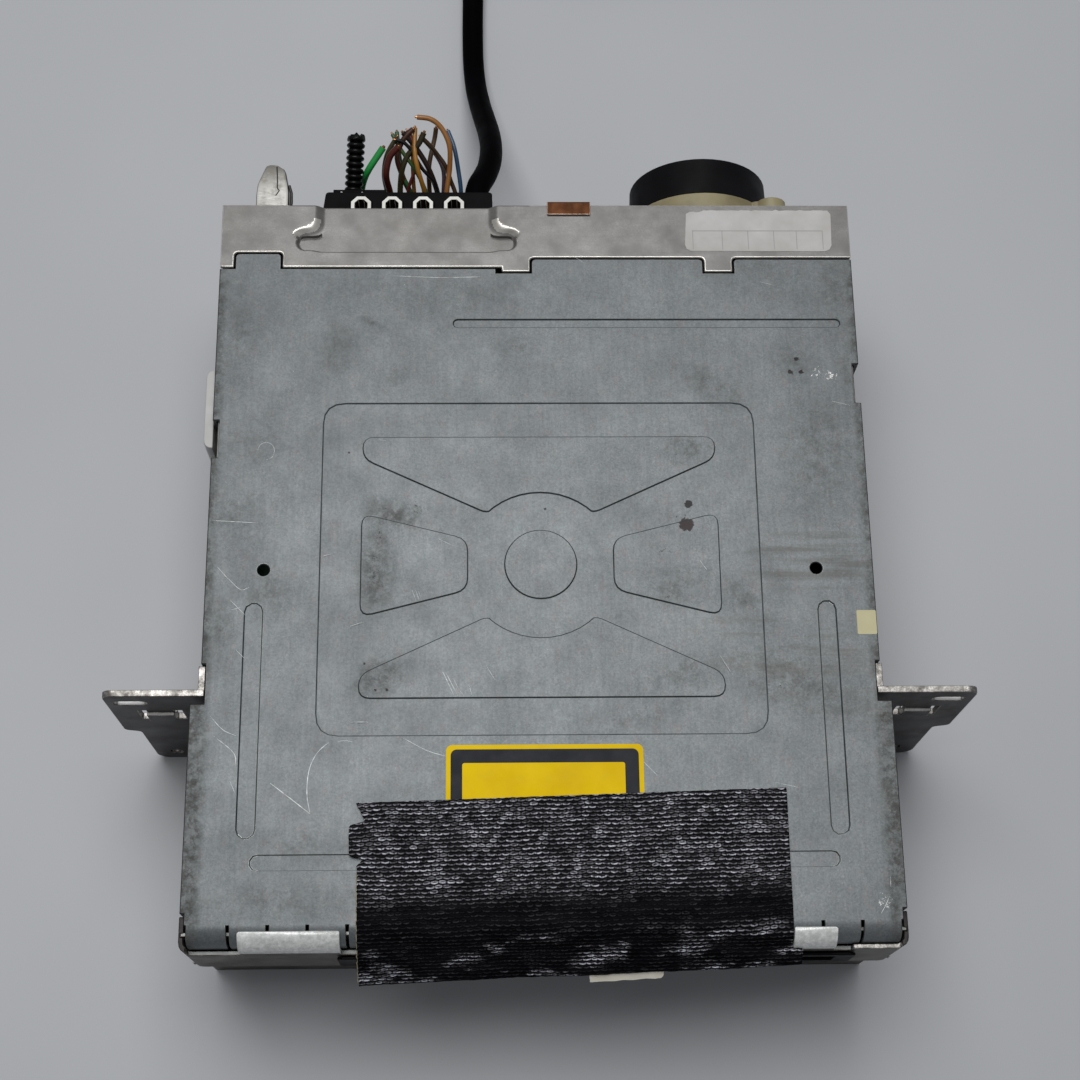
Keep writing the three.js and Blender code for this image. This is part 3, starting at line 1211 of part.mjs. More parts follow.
piece("spindle_motor", join(
  rod("z", spindleMotor.radius, [0, 0], [spindleMotor.low, deckZ - gap], 2 * ringSides),
  rod("z", spindleMotor.shaft, [0, 0], [deckZ - overrun, spindleMotor.top], 12),
), brightSteel, drive);

function turntableBody() {
  const profile = [
    [spindleMotor.shaft + gap, turntable.low], [turntable.radius / 2, turntable.low],
    [turntable.radius / 2, turntable.top - 2 * sheet], [turntable.radius, turntable.top - sheet],
    [turntable.radius, turntable.top], [turntable.nose, turntable.top],
    [turntable.nose - sheet, turntable.top + turntable.noseHeight], [0, turntable.top + turntable.noseHeight],
    [0, spindleMotor.top + gap], [spindleMotor.shaft + gap, spindleMotor.top + gap],
    [spindleMotor.shaft + gap, turntable.low],
  ];
  const body = solid(new THREE.LatheGeometry(profile.map((p) => new THREE.Vector2(...p)), ringSides)
    .rotateX(halfTurn / 2));
  const catches = spread(4, 0, fullTurn).slice(0, 3).map((turn) => {
    const geometry = new THREE.BoxGeometry(2 * sheet, 2.5 * sheet, 1.5 * sheet);
    geometry.translate(turntable.nose - gap, 0, turntable.top + 1.5 * sheet).rotateZ(turn);
    return solid(geometry);
  });
  return join(body, ...catches);
}
piece("turntable", turntableBody(), blackPlastic, drive);

// Guide rods, lead screw and the sled that rides on them
const sledY = [14, 32];
const sledLens = 23;
const nut = 3.2;
[-1, 1].forEach((side) =>
  piece(`guide_rod_${side < 0 ? "left" : "right"}`,
    rod("y", rodRadius, [side * rodX, rodZ], [tabY[0] - tabThick, tabY[1] + tabThick], 12), brightSteel, drive));

const leadScrewRear = tabY[1] + tabThick / 2;
function leadScrew() {
  const [front, back] = [tabY[0] - tabThick, leadScrewRear];
  const bar = rod("y", rodRadius, [screwX, rodZ], [front, back], 12);
  const flat = block([screwX - rodRadius, screwX + rodRadius], [front - overrun, front + tabThick / 2],
    [rodZ + rodRadius / 2, rodZ + 2 * rodRadius]);
  return cut(bar, flat);
}
piece("lead_screw", leadScrew(), brightSteel, drive);

const sledMotor = { radius: 4.2, length: 14 };
function sledMotorBody() {
  const from = leadScrewRear + gap;
  const can = rod("y", sledMotor.radius, [screwX, rodZ], [from, from + sledMotor.length], ringSides);
  const ears = block(about(screwX, 3 * sledMotor.radius), [from, from + sheet], about(rodZ, sledMotor.radius));
  return join(can, ears);
}
piece("sled_motor", sledMotorBody(), brightSteel, drive);

function laserSled() {
  const low = [carriageLow + sheet, deckZ - gap];
  const body = block([-rodX - nut, rodX + nut], sledY, low);
  const arm = block([rodX, screwX + nut], about(sledLens, 2 * nut), low);
  const head = plate(rectangle(about(0, 2 * windowHalf - 3 * sheet), [sledY[0] + sheet, sledY[1] - sheet], 2 * sheet),
    "z", [deckZ - gap - weld, deckZ + 4.5 * sheet]);
  const bores = [-rodX, rodX, screwX].map((x) =>
    rod("y", rodRadius + gap, [x, rodZ], [sledY[0] - overrun, sledY[1] + overrun], 12));
  const well = rod("z", 2 * rodRadius, [0, sledLens], [deckZ + 3.4 * sheet, deckZ + overrun + 4 * sheet]);
  return cut(join(body, arm, head), ...bores, well);
}
piece("laser_sled", laserSled(), greyAluminium, drive);

function laserLens() {
  const [radius, foot] = [2 * rodRadius - gap, deckZ + 3.4 * sheet + gap];
  const profile = [[0, foot], [radius, foot], [radius, foot + sheet], [radius * 0.8, foot + 1.5 * sheet],
    [radius * 0.4, foot + 1.8 * sheet], [0, foot + 1.9 * sheet]];
  const lathe = new THREE.LatheGeometry(profile.map((p) => new THREE.Vector2(...p)), ringSides);
  return solid(lathe.rotateX(halfTurn / 2).translate(0, sledLens, 0));
}
piece("laser_lens", laserLens(), lensBlue, drive);

// Loading roller with its shaft and gear, and the loading motor with the gear in mesh
function gearOutline(teeth, start, slack) {
  const pitchRadius = (gearModule * teeth) / 2;
  const pressure = halfTurn / 9;
  const base = pitchRadius * Math.cos(pressure);
  const tip = pitchRadius + 0.85 * gearModule;
  const root = pitchRadius - 1.2 * gearModule;
  const involute = (a) => Math.tan(a) - a;
  const halfAngle = (radius) => {
    const a = radius > base ? Math.acos(base / radius) : 0;
    return halfTurn / (2 * teeth) - slack / pitchRadius + involute(pressure) - involute(a);
  };
  const radii = [root, Math.max(base, root), pitchRadius, tip];
  const points = [];
  for (let i = 0; i < teeth; i++) {
    const middle = start + (fullTurn * i) / teeth;
    const flank = (radius, side) => {
      const a = middle + side * halfAngle(radius);
      return [radius * Math.cos(a), radius * Math.sin(a)];
    };
    points.push(...radii.map((radius) => flank(radius, -1)));
    points.push(...radii.toReversed().map((radius) => flank(radius, 1)));
  }
  return outline(points);
}

function gear(teeth, start, slack, centre, span, bore) {
  const geometry = solidGear(teeth, start, slack, span);
  geometry.translate(0, centre[0], centre[1]);
  return cut(solid(geometry), rod("x", bore, centre, [span[0] - overrun, span[1] + overrun], 12));
}

function solidGear(teeth, start, slack, span) {
  const turn = new THREE.Matrix4().makeBasis(
    new THREE.Vector3(0, 1, 0), new THREE.Vector3(0, 0, 1), new THREE.Vector3(1, 0, 0));
  const geometry = new THREE.ExtrudeGeometry(gearOutline(teeth, start, slack),
    { depth: span[1] - span[0], bevelEnabled: false });
  return geometry.applyMatrix4(turn).translate(span[0], 0, 0);
}

const gearSpan = [deckHalf + 2 * gap, deckHalf + 2 * gap + gearWidth];
const gearSlack = 0.1;
const meshAngle = -gearLean; // from the roller gear's centre to the drive gear's, in the (y, z) plane
const rollerInset = 6;
const rubberHalf = deckHalf - rollerInset;

piece("loading_roller", cut(
  join(...[-1, 1].map((side) =>
    rod("x", side > 0 ? 0.8 * rubberRadius : rubberRadius, [rollerY, rollerZ],
      side > 0 ? [0, rubberHalf] : [-rubberHalf, 0], 20, side > 0 ? rubberRadius : 0.8 * rubberRadius))),
  rod("x", shaftRadius + gap, [rollerY, rollerZ], [-rubberHalf - overrun, rubberHalf + overrun], 12),
), blackRubber, drive);
piece("roller_shaft_gear", join(
  rod("x", shaftRadius, [rollerY, rollerZ], [-deckHalf - sheet, gearSpan[1] + sheet], 12),
  gear(rollerTeeth, meshAngle, gearSlack, [rollerY, rollerZ], gearSpan, shaftRadius - gap),
), whitePlastic, drive);
piece("drive_gear",
  gear(driveTeeth, meshAngle + halfTurn + halfTurn / driveTeeth, gearSlack, [driveGearY, driveGearZ], gearSpan,
    shaftRadius - gap), whitePlastic, drive);

const loadingMotor = { radius: 6.6, length: 17 };
piece("loading_motor", join(
  rod("x", loadingMotor.radius, [driveGearY, driveGearZ],
    [deckHalf - sheet - gap - loadingMotor.length, deckHalf - sheet - gap]),
  rod("x", shaftRadius - 2 * gap, [driveGearY, driveGearZ], [deckHalf - sheet - weld, gearSpan[1]], 10),
), brightSteel, drive);

export default unit;
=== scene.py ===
from math import cos, exp, hypot, pi, radians, sin, sqrt

import bmesh
import bpy
from mathutils import Matrix, Vector
from mathutils.noise import noise


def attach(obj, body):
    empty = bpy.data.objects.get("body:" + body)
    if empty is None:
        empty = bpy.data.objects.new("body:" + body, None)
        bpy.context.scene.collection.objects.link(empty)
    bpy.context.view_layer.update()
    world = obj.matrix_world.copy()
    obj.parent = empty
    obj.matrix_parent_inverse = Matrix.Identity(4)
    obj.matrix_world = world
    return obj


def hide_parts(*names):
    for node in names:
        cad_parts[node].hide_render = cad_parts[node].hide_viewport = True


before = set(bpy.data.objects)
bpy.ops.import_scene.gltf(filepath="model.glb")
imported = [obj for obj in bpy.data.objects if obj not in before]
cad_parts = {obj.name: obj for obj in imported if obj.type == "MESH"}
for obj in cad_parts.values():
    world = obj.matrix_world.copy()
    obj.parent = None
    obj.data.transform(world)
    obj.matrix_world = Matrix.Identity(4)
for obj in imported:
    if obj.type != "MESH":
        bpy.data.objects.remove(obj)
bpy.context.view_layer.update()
MM = 0.001
LID_TOP, REAR_WALL = 70, 108.7  # the lid's upper side, and the rear wall's outer face, in millimetres


def show(thing):
    bpy.context.scene.collection.objects.link(thing)


# The camera, at the photograph's place
SENSOR_WIDTH, FOCAL_LENGTH = 36, 63.883
IMAGE_SHIFT = 20 / 1080  # the image's middle lies this far from the optical axis, in image heights
CAMERA_PLACE = (-0.01346, -0.16637, 0.5562)
CAMERA_RIGHT = (0.99966056, -0.01195281, 0.02314938)
CAMERA_UP = (0.00376073, 0.94544338, 0.32576476)


def make_camera():
    data = bpy.data.cameras.new("camera")
    data.sensor_width, data.lens, data.shift_y = SENSOR_WIDTH, FOCAL_LENGTH, IMAGE_SHIFT
    camera = bpy.data.objects.new("camera", data)
    show(camera)
    right, up = Vector(CAMERA_RIGHT), Vector(CAMERA_UP)
    turn = Matrix((right, up, right.cross(up))).transposed().to_4x4()
    camera.matrix_world = Matrix.Translation(CAMERA_PLACE) @ turn
    bpy.context.scene.camera = camera


make_camera()


# Node materials, by name
looks = {}


class Finish:
    """A material with a Principled shader, and short ways to add nodes that read the object's own coordinates."""

    def __init__(self, name, color, roughness, metallic=0.0, shine=0.5):
        self.material = bpy.data.materials.new(name)
        self.material.use_nodes = True
        self.tree = self.material.node_tree
        self.shader = self.tree.nodes["Principled BSDF"]
        for key, value in (("Base Color", color), ("Roughness", roughness), ("Metallic", metallic),
                           ("Specular IOR Level", shine)):
            self.feed(self.shader.inputs[key], value)
        self.place = self.node("ShaderNodeTexCoord", {}, "Object")
        looks[name] = self

    def node(self, kind, inputs, output=None, **settings):
        """A new node, with its inputs by name or number. Returns one of its outputs, or all."""
        made = self.tree.nodes.new(kind)
        for key, value in settings.items():
            setattr(made, key, value)
        for key, value in inputs.items():
            self.feed(made.inputs[key], value)
        return made.outputs[output] if output else made.outputs

    def feed(self, socket, value):
        """Sets an input to another node's output, a number, or a colour in hex digits."""
        if isinstance(value, bpy.types.NodeSocket):
            self.tree.links.new(value, socket)
        else:
            socket.default_value = linear(value) if isinstance(value, str) else value

    def noise(self, size, detail=4.0, stretch=(1, 1, 1), rough=0.55, turn=0.0, place=None, output="Fac"):
        """Cloudy values around 0.5, with features about size millimetres across."""
        spot = self.node("ShaderNodeMapping", {"Vector": place or self.place, "Scale": stretch,
                                               "Rotation": (0, 0, turn)}, "Vector")
        return self.node("ShaderNodeTexNoise", {"Vector": spot, "Scale": 1000 / size, "Detail": detail,
                                                "Roughness": rough}, output)

    def ramp(self, value, low, high, to_low=0.0, to_high=1.0):
        return self.node("ShaderNodeMapRange", {"Value": value, "From Min": low, "From Max": high,
                                                "To Min": to_low, "To Max": to_high}, "Result", clamp=True)

    def math(self, kind, a, b):
        return self.node("ShaderNodeMath", {0: a, 1: b}, "Value", operation=kind)

    def times(self, a, b):
        return self.math("MULTIPLY", a, b)

    def plus(self, a, b):
        return self.math("ADD", a, b)

    def mix(self, share, a, b):
        """Of a Mix node's inputs, 6 and 7 are its colours, and so is output 2."""
        return self.node("ShaderNodeMix", {0: share, 6: a, 7: b}, 2, data_type="RGBA")

    def split(self, vector):
        return self.node("ShaderNodeSeparateXYZ", {"Vector": vector})

    def vector(self, kind, output, *inputs):
        return self.node("ShaderNodeVectorMath", dict(enumerate(inputs)), output, operation=kind)

    def near(self, x, y, radius, fade, squeeze=(1, 1), turn=0.0):
        """1 at a place on the lid in millimetres, fading to 0 at radius, in a patch squeezed along its turned axes.
        Along Z the patch is long, so that it also colours the pressings."""
        away = self.vector("SUBTRACT", "Vector", self.place, [c * MM for c in (x, y, LID_TOP)])
        if turn:
            away = self.node("ShaderNodeVectorRotate", {"Vector": away, "Angle": -turn}, "Vector",
                             rotation_type="Z_AXIS")
        squeezed = self.vector("MULTIPLY", "Vector", away, (*squeeze, 0.2))
        return self.ramp(self.vector("LENGTH", "Value", squeezed), radius * MM, (radius - fade) * MM)

    def color(self, value):
        self.feed(self.shader.inputs["Base Color"], value)

    def rough(self, value):
        self.feed(self.shader.inputs["Roughness"], value)

    def bump(self, height, depth, strength=1.0):
        """Bump from a height of 0 to 1, depth in millimetres."""
        inputs = {"Strength": strength, "Distance": depth * MM, "Height": height}
        self.feed(self.shader.inputs["Normal"], self.node("ShaderNodeBump", inputs, "Normal"))


def linear(color):
    """An sRGB colour written as six hex digits, in linear values."""
    parts = [int(color[i : i + 2], 16) / 255 for i in (0, 2, 4)]
    return [p / 12.92 if p <= 0.04045 else ((p + 0.055) / 1.055) ** 2.4 for p in parts] + [1.0]


def zinc(name, light, dark, roughness=0.45, metallic=0.5, stain="5f584a", stains=0.35, brush=(1, 0.06, 1),
         bump=0.05, speckle=0.35, cloud_size=20):
    f = Finish(name, light, roughness, metallic)
    cloud = f.ramp(f.noise(cloud_size, 5), 0.35, 0.68)
    base = f.mix(cloud, light, dark)
    brushed = f.ramp(f.noise(1.0, 4, brush), 0.32, 0.7)
    grain = f.ramp(f.noise(0.42, 2, rough=0.6), 0.3, 0.7)
    base = f.mix(f.times(brushed, 0.3), base, dark)
    base = f.mix(f.times(grain, speckle), base, dark)
    grime = f.times(f.ramp(f.noise(30, 6, rough=0.72), 0.52, 0.72), stains)
    f.color(f.mix(grime, base, stain))
    f.rough(f.plus(f.ramp(f.noise(9, 4), 0.3, 0.7, roughness - 0.06, roughness + 0.08), f.times(grime, 0.25)))
    f.bump(f.plus(f.times(grain, 0.3), f.noise(14, 3)), bump, 0.5)


def plastic(name, color, shade, roughness=0.45, grain=0.35, shine=0.5):
    f = Finish(name, color, roughness, shine=shine)
    f.color(f.mix(f.ramp(f.noise(12, 5), 0.35, 0.7), color, shade))
    f.rough(f.ramp(f.noise(5, 4), 0.3, 0.7, roughness - 0.07, roughness + 0.1))
    f.bump(f.noise(grain, 2), 0.03, 0.4)


def bright(name, color, shade, roughness=0.25, metallic=1.0):
    f = Finish(name, color, roughness, metallic)
    f.color(f.mix(f.ramp(f.noise(4, 5), 0.4, 0.7), color, shade))
    f.rough(f.ramp(f.noise(1.5, 4, (1, 0.2, 1)), 0.3, 0.7, roughness - 0.05, roughness + 0.12))
    f.bump(f.noise(0.5, 2, (1, 0.1, 1)), 0.01, 0.3)


# Dirt on the lid: middle and radius in millimetres, squeeze along x and y, turn, and strength
lid_dirt = [
    (-55.8, 62.4, 8, 1, 0.8, 0, 0.5), (-39.7, 54.7, 7, 0.8, 1.6, 0.6, 0.35),
    (-5.7, 64.3, 7, 0.8, 1.8, 0, 0.55), (-46.2, 71.6, 4, 0.8, 2.6, -0.5, 0.7),
    (47.6, 52.3, 13, 0.8, 2, -0.45, 0.55), (71.7, 59.2, 9, 1, 1, 0, 0.5), (86.2, 55.3, 11, 2.4, 0.8, 0, 0.6),
    (76.5, 32.8, 20, 1.5, 0.7, 0, 0.55), (-77.6, 33.2, 13, 1, 0.9, 0, 0.3), (-82.3, 14.3, 13, 1, 1.3, 0, 0.4),
    (-39.9, 14.1, 9, 0.8, 1.5, -0.3, 1.0), (-44.3, -2, 13, 1.9, 0.8, 0, 0.9),
    (54.5, -10.4, 11, 0.8, 1.7, -0.8, 0.6), (67.9, -33.3, 26, 0.8, 2.3, -0.38, 0.6),
    (37.7, -30.4, 13, 0.8, 2, 0.3, 0.5), (40.0, 32.9, 9, 0.9, 1.6, 0.1, 0.75),
    (-73.5, -7.0, 11, 1, 1, 0, 0.45), (-84.9, -18.1, 12, 1.6, 0.9, 0, 0.45),
    (35.9, -6.1, 12, 0.9, 1.4, 0.3, 0.5), (25.4, -41.9, 14, 0.7, 2.2, 0.2, 0.35),
    (-62.2, -75.4, 14, 0.7, 2.2, 0, 0.35), (-42.5, -31, 9, 0.8, 1.3, 0.3, 0.75),
    (66, 88, 22, 0.6, 1.7, 0, 0.35), (-24.6, 80, 30, 0.7, 2.6, 0, 0.3), (-84, 70, 16, 1.6, 0.6, 0, 0.35),
    (84, 80, 14, 1.7, 0.7, 0, 0.5), (-70, -90, 20, 0.5, 3, 0, 0.35),
]

# Small stains on the lid: middle and radius in millimetres, how dense, and colour
lid_spots = [
    (39.6, 11.2, 1.9, 1.5, "1d0f0c"), (40.4, 17.2, 1.1, 1.4, "0f0e0d"), (38.2, 14, 2.6, 0.4, "231a15"),
    (1.4, 15.9, 0.5, 0.9, "151413"), (33.5, 3.3, 2.4, 0.4, "26231f"), (33.9, -8.8, 1.9, 0.38, "26231f"),
    (-43.8, -34.7, 0.45, 0.9, "1c1a18"), (-40.7, -34.7, 0.5, 0.9, "1c1a18"),
    (-46.8, -27.4, 0.45, 0.9, "1c1a18"), (-52.0, 32.5, 0.4, 0.9, "1c1a18"), (-43.6, 8.4, 2.4, 0.36, "302c27"),
    (-45.3, -3, 2.4, 0.38, "302c27"), (-33.6, 16.4, 2.8, 0.38, "302c27"), (72.1, 60.2, 0.9, 0.8, "1c1a18"),
    (70.3, 56.3, 1, 0.8, "1c1a18"), (73.2, 56.2, 0.9, 0.8, "1c1a18"), (77.6, 56.2, 2, 0.42, "e4e4e0"),
    (81.4, 55.1, 2.3, 0.42, "e4e4e0"), (86.6, -91, 3, 0.36, "d6d8d6"),
]


def lid_finish():
    """Zinc plated sheet: fine grain, faint brushing, weak bluish and reddish tints, dirt, rubbed streaks, and
    painted shade towards the rear and the left side.
    """
    f = Finish("lid_zinc", "6b7072", 0.5, 0.35)
    base = f.mix(f.ramp(f.noise(26, 7, rough=0.72), 0.34, 0.66), LID_LIGHT, LID_DARK)
    tint = f.noise(2.6, 4, (1, 0.6, 1), 0.7)
    base = f.mix(f.ramp(tint, 0.5, 0.7, 0.0, 0.6), base, LID_RED)
    base = f.mix(f.ramp(tint, 0.5, 0.3, 0.0, 0.5), base, LID_BLUE)
    brushed = f.ramp(f.noise(0.8, 5, (1, 0.07, 1), 0.7), 0.34, 0.68)
    grain = f.ramp(f.noise(0.55, 3, rough=0.75), 0.36, 0.64)
    flecks = f.ramp(f.noise(1.1, 3, rough=0.7), 0.56, 0.66)
    base = f.mix(f.ramp(brushed, 0, 1, 0.0, 0.3), base, "4e5355")
    base = f.mix(f.ramp(grain, 0, 1, 0.0, 0.52), base, "43484a")
    mottle = f.ramp(f.noise(1.9, 5, (1, 0.7, 1), 0.8), 0.4, 0.6)
    base = f.mix(f.ramp(mottle, 0, 1, 0.0, 0.14), base, "3f4446")
    axes = f.split(f.place)
    # painted shade: the lid's colour darkens towards its rear
    base = f.mix(f.ramp(axes["Y"], 0.01, 0.09, 0.0, 0.13), base, "3d4244")
    # painted shade: the lid's colour darkens towards its left side
    base = f.mix(f.ramp(axes["X"], 0.05, -0.085, 0.0, 0.19), base, "3d4244")
    base = f.mix(f.times(flecks, 0.14), base, "9fa4a5")
    ragged = f.ramp(f.noise(3.0, 8, rough=0.85), 0.44, 0.6)
    dirt = None
    for x, y, radius, thin, low, turn, strength in lid_dirt:
        patch = f.times(f.near(x, y, radius, radius, (thin, low), turn), strength)
        dirt = f.math("MAXIMUM", dirt, patch) if dirt else patch
    soiled = dirt
    rubbed_edge = f.ramp(f.math("ABSOLUTE", axes["X"], 0), 0.0862, 0.0892)
    dirt = f.math("MAXIMUM", dirt, f.times(rubbed_edge, 1.1))
    dirt = f.times(dirt, f.plus(f.times(ragged, 0.8), 0.2))
    base = f.mix(f.times(dirt, 0.62), base, "45413a")
    scrub = f.ramp(f.noise(3.2, 5, (0.09, 1.3, 1), 0.6, turn=-0.08), 0.44, 0.62)
    rubbed = f.times(f.near(73, 0.5, 19, 9, (0.85, 1.6)), scrub)
    base = f.mix(f.times(rubbed, 0.55), base, "4a4742")
    wiped = f.ramp(f.noise(4, 6, (0.12, 1.2, 1), 0.7, turn=0.42), 0.48, 0.66)
    swipe = f.times(f.near(66, -24, 30, 16, (0.7, 1.9), -0.42), wiped)
    base = f.mix(f.times(swipe, 0.6), base, "57544e")
    worn = f.times(f.ramp(f.noise(9, 7, rough=0.8), 0.6, 0.68), 0.4)
    base = f.mix(worn, base, "7f8484")
    crumbs = f.plus(f.noise(1.2, 4, rough=0.8), f.times(soiled, 0.13))
    specks = f.ramp(crumbs, 0.72, 0.745)
    base = f.mix(f.times(specks, 0.85), base, "24211e")
    crumbly = f.times(f.math("SUBTRACT", f.noise(0.9, 5, rough=0.8), 0.5), 2.4)
    for x, y, radius, dense, colour in lid_spots:
        edge = f.plus(f.times(f.near(x, y, radius * 1.4, radius), dense), crumbly)
        base = f.mix(f.ramp(edge, 0.5, 0.58), base, colour)
    f.color(base)
    f.rough(f.plus(f.ramp(f.noise(11, 4), 0.3, 0.7, 0.4, 0.5), f.times(dirt, 0.3)))
    f.bump(f.plus(f.times(grain, 0.25), f.noise(20, 3)), 0.05, 0.5)


STITCH_PITCH, ROW_PITCH = 0.0020, 0.00112  # between the tape's stitches across, and between its rows


def cloth_finish():
    """Black coated tape with rows of short raised stitches, from the sheet's own flat coordinates, with painted
    glints coloured onto the stitches.
    """
    f = Finish("tape_cloth", "0b0b0c", 0.5, shine=0.04)
    flat = f.node("ShaderNodeUVMap", {}, "UV", uv_map="flat")

    def flat_noise(scale, detail, stretch=(1, 1, 1), output="Fac"):
        return f.noise(1000 / scale, detail, stretch, 0.5, place=flat, output=output)

    bend = flat_noise(70, 4, output="Color")
    axes = f.split(f.vector("MULTIPLY_ADD", "Vector", bend, (0.0034, 0.0016, 0), flat))
    across = f.times(axes["X"], 1 / STITCH_PITCH)
    along = f.times(axes["Y"], 1 / ROW_PITCH)
    row = f.math("FLOOR", along, 0)
    shifted = f.plus(across, f.times(f.math("MODULO", row, 2), 0.5))
    column = f.math("FLOOR", shifted, 0)
    u = f.math("SUBTRACT", f.math("FRACT", shifted, 0), 0.5)
    v = f.math("FRACT", along, 0)
    arch = f.times(f.times(u, u), 0.9)

    def arc(middle, thin):
        off = f.times(f.math("SUBTRACT", v, middle), thin)
        return f.ramp(f.times(off, off), 1, 0)

    ends = f.ramp(f.math("ABSOLUTE", u, 0), 0.52, 0.38)
    lower = f.times(arc(f.math("SUBTRACT", 0.74, arch), 4.6), ends)
    upper_arc = f.times(arc(f.plus(0.24, arch), 5.6), ends)
    second = f.ramp(flat_noise(160, 3), 0.5, 0.62, 0.05, 0.6)
    stitch = f.math("MAXIMUM", lower, f.times(upper_arc, second))
    cell = f.node("ShaderNodeCombineXYZ", {"X": row, "Y": column}, "Vector")
    luck = f.node("ShaderNodeTexWhiteNoise", {"Vector": cell}, "Value", noise_dimensions="2D")
    length = f.split(flat)["Y"]
    # where the painted glints show: a patchy field on the tape's upper part and streaks on the flap, with the dip
    # between left black
    field = f.ramp(flat_noise(110, 6, (1, 1.3, 1)), 0.34, 0.6, 0.6, 0.95)
    upper = f.times(field, f.ramp(length, 0.028, 0.021))
    streaks = f.ramp(flat_noise(60, 4, (1, 2.2, 1)), 0.52, 0.64)
    flap = f.times(streaks, f.ramp(length, 0.033, 0.038))
    lit = f.plus(f.plus(upper, f.times(flap, 1.6)), 0.05)
    frayed = f.ramp(flat_noise(1300, 3), 0.36, 0.6, 0.15, 1.0)
    lit_stitches = f.times(stitch, lit)
    painted_glint = f.times(lit_stitches, f.ramp(f.math("POWER", luck, 1.6), 0, 1, 0.22, 1.25))
    painted_glint = f.times(painted_glint, frayed)
    base = f.mix(f.ramp(flat_noise(300, 3, (0.2, 1, 1)), 0.4, 0.7), "060608", "121014")
    # painted glints: the lit stitches are coloured near white
    f.color(f.mix(painted_glint, base, "e2e2ec"))
    f.feed(f.shader.inputs["Specular IOR Level"], f.plus(f.times(painted_glint, 0.5), 0.012))
    f.rough(f.ramp(flat_noise(500, 4), 0.35, 0.7, 0.35, 0.6))
    f.bump(f.plus(stitch, f.times(flat_noise(450, 3), 0.5)), 0.22, 0.8)


LID_LIGHT, LID_DARK, LID_RED, LID_BLUE = "83898b", "777c7e", "857e7e", "737d7f"
lid_finish()
# painted shade in the pressings: their rounded edges are coloured darker than the lid
zinc("lid_crease", "4c5255", "2f3436", 0.6, 0.2, stains=0.2, cloud_size=6)
# painted shade, fainter, on the rounded edges of the outer panel's pressing
zinc("lid_faint", "6b7173", "484d4f", 0.5, 0.3, stains=0.2, cloud_size=5)
zinc("lid_edge", "8f9393", "6c7070", 0.38, 0.7, stains=0.3)
zinc("cover_zinc", "878583", "6b6967", 0.42, 0.5, brush=(0.06, 1, 1), stains=0.2, speckle=0.6,
     cloud_size=7)
# painted highlight: a much lighter finish for the cover's rounded edges and the stamping's shoulders
zinc("cover_edge", "dedbd4", "b1ada6", 0.3, 0.7, brush=(0.06, 1, 1), stains=0.15)
zinc("frame_zinc", "7e807f", "5d605f", 0.38, 0.6)
# painted highlight: the hooks' zinc is coloured near white in place of their bright reflection
zinc("hook_zinc", "ffffff", "c6c8c4", 0.3, 0.1, "8a8781", 0.0, bump=0.2, speckle=0.5, cloud_size=1.3)
zinc("frame_edge", "b0aaa0", "33291f", 0.4, 0.5, "33271e", 0.8, cloud_size=4)
# painted shade: a dark finish for the lid's side bends and the front frame's edges behind the lid's roll
zinc("gap_dark", "2a2a2b", "1c1c1d", 0.7, 0.2)
zinc("rusty_zinc", "35302c", "191512", 0.5, 0.4, "15110e", 0.8, cloud_size=3)
# painted shade: the front plate's forward face is coloured dark brownish grey
zinc("plate_zinc", "5d5852", "3e3a36", 0.45, 0.4, "2b2520", 0.5, cloud_size=8)
zinc("bare_steel", "363433", "282626", 0.42, 0.6, "2c241e", 0.6, brush=(0.06, 1, 1))
zinc("bare_edge", "dcd8d2", "4d4945", 0.32, 0.6, "3a3129", 0.4, speckle=0.7, cloud_size=2.2)
# painted highlight: the brackets' cut walls are coloured near white
zinc("slot_wall", "ffffff", "b8b6b2", 0.35, 0.1, stains=0.1)
bright("bright_steel", "b2b4b6", "8b8e90")
bright("copper", "523422", "2e1c12", 0.38)
bright("clip_edge", "d6bfae", "a07a5c", 0.3)
plastic("black_plastic", "0a0a0c", "101012", shine=0.04)
plastic("fan_black", "0a0a0c", "121214", 0.5, shine=0.09)
plastic("black_glossy", "060607", "0b0b0c", 0.25, 0.8, shine=0.2)
plastic("black_sheath", "050506", "08080a", 0.4, 0.6, shine=0.004)
plastic("collar_white", "f0efea", "dddbd2", 0.5)
# painted shade inside the plug collars
plastic("collar_well", "3a2c20", "15100d", 0.6, shine=0.1)
plastic("white_plastic", "bcbcba", "abaaa5", 0.45)
plastic("cream_plastic", "9c9271", "7d7355", 0.5)
plastic("finger_dark", "24211f", "3b3734", 0.3, 0.9)
plastic("black_rubber", "101010", "191918", 0.7)
plastic("board_green", "1d5b34", "174a2b", 0.45)
zinc("grey_aluminium", "a5a8aa", "8b8e90", 0.4, 0.9)
plastic("lens_blue", "6d86b8", "5a74a8", 0.08, 3.0)
cloth_finish()
plastic("tape_back", "121213", "0c0c0d", 0.6, shine=0.2)
plastic("fray_thread", "b3a88c", "8d8268", 0.7)
bright("copper_core", "c58a5c", "a06a40", 0.3)
plastic("yellow_film", "f0cb06", "e2bb05", 0.45, 1.5, shine=0.06)
plastic("dark_ink", "232429", "2d2e34", 0.5, 1.2, shine=0.12)
plastic("pale_ink", "8a8886", "9c9a97", 0.6, 1.2)
plastic("white_paper", "c3c1c0", "aeaaa4", 0.6, 0.9)
plastic("slip_paper", "fbf6e8", "e6dfcc", 0.7, 0.9)
plastic("cream_paper", "c9c29c", "b9b187", 0.6, 0.9)
bright("scratch_metal", "e9ecec", "b9bdbd", 0.5, 0.1)


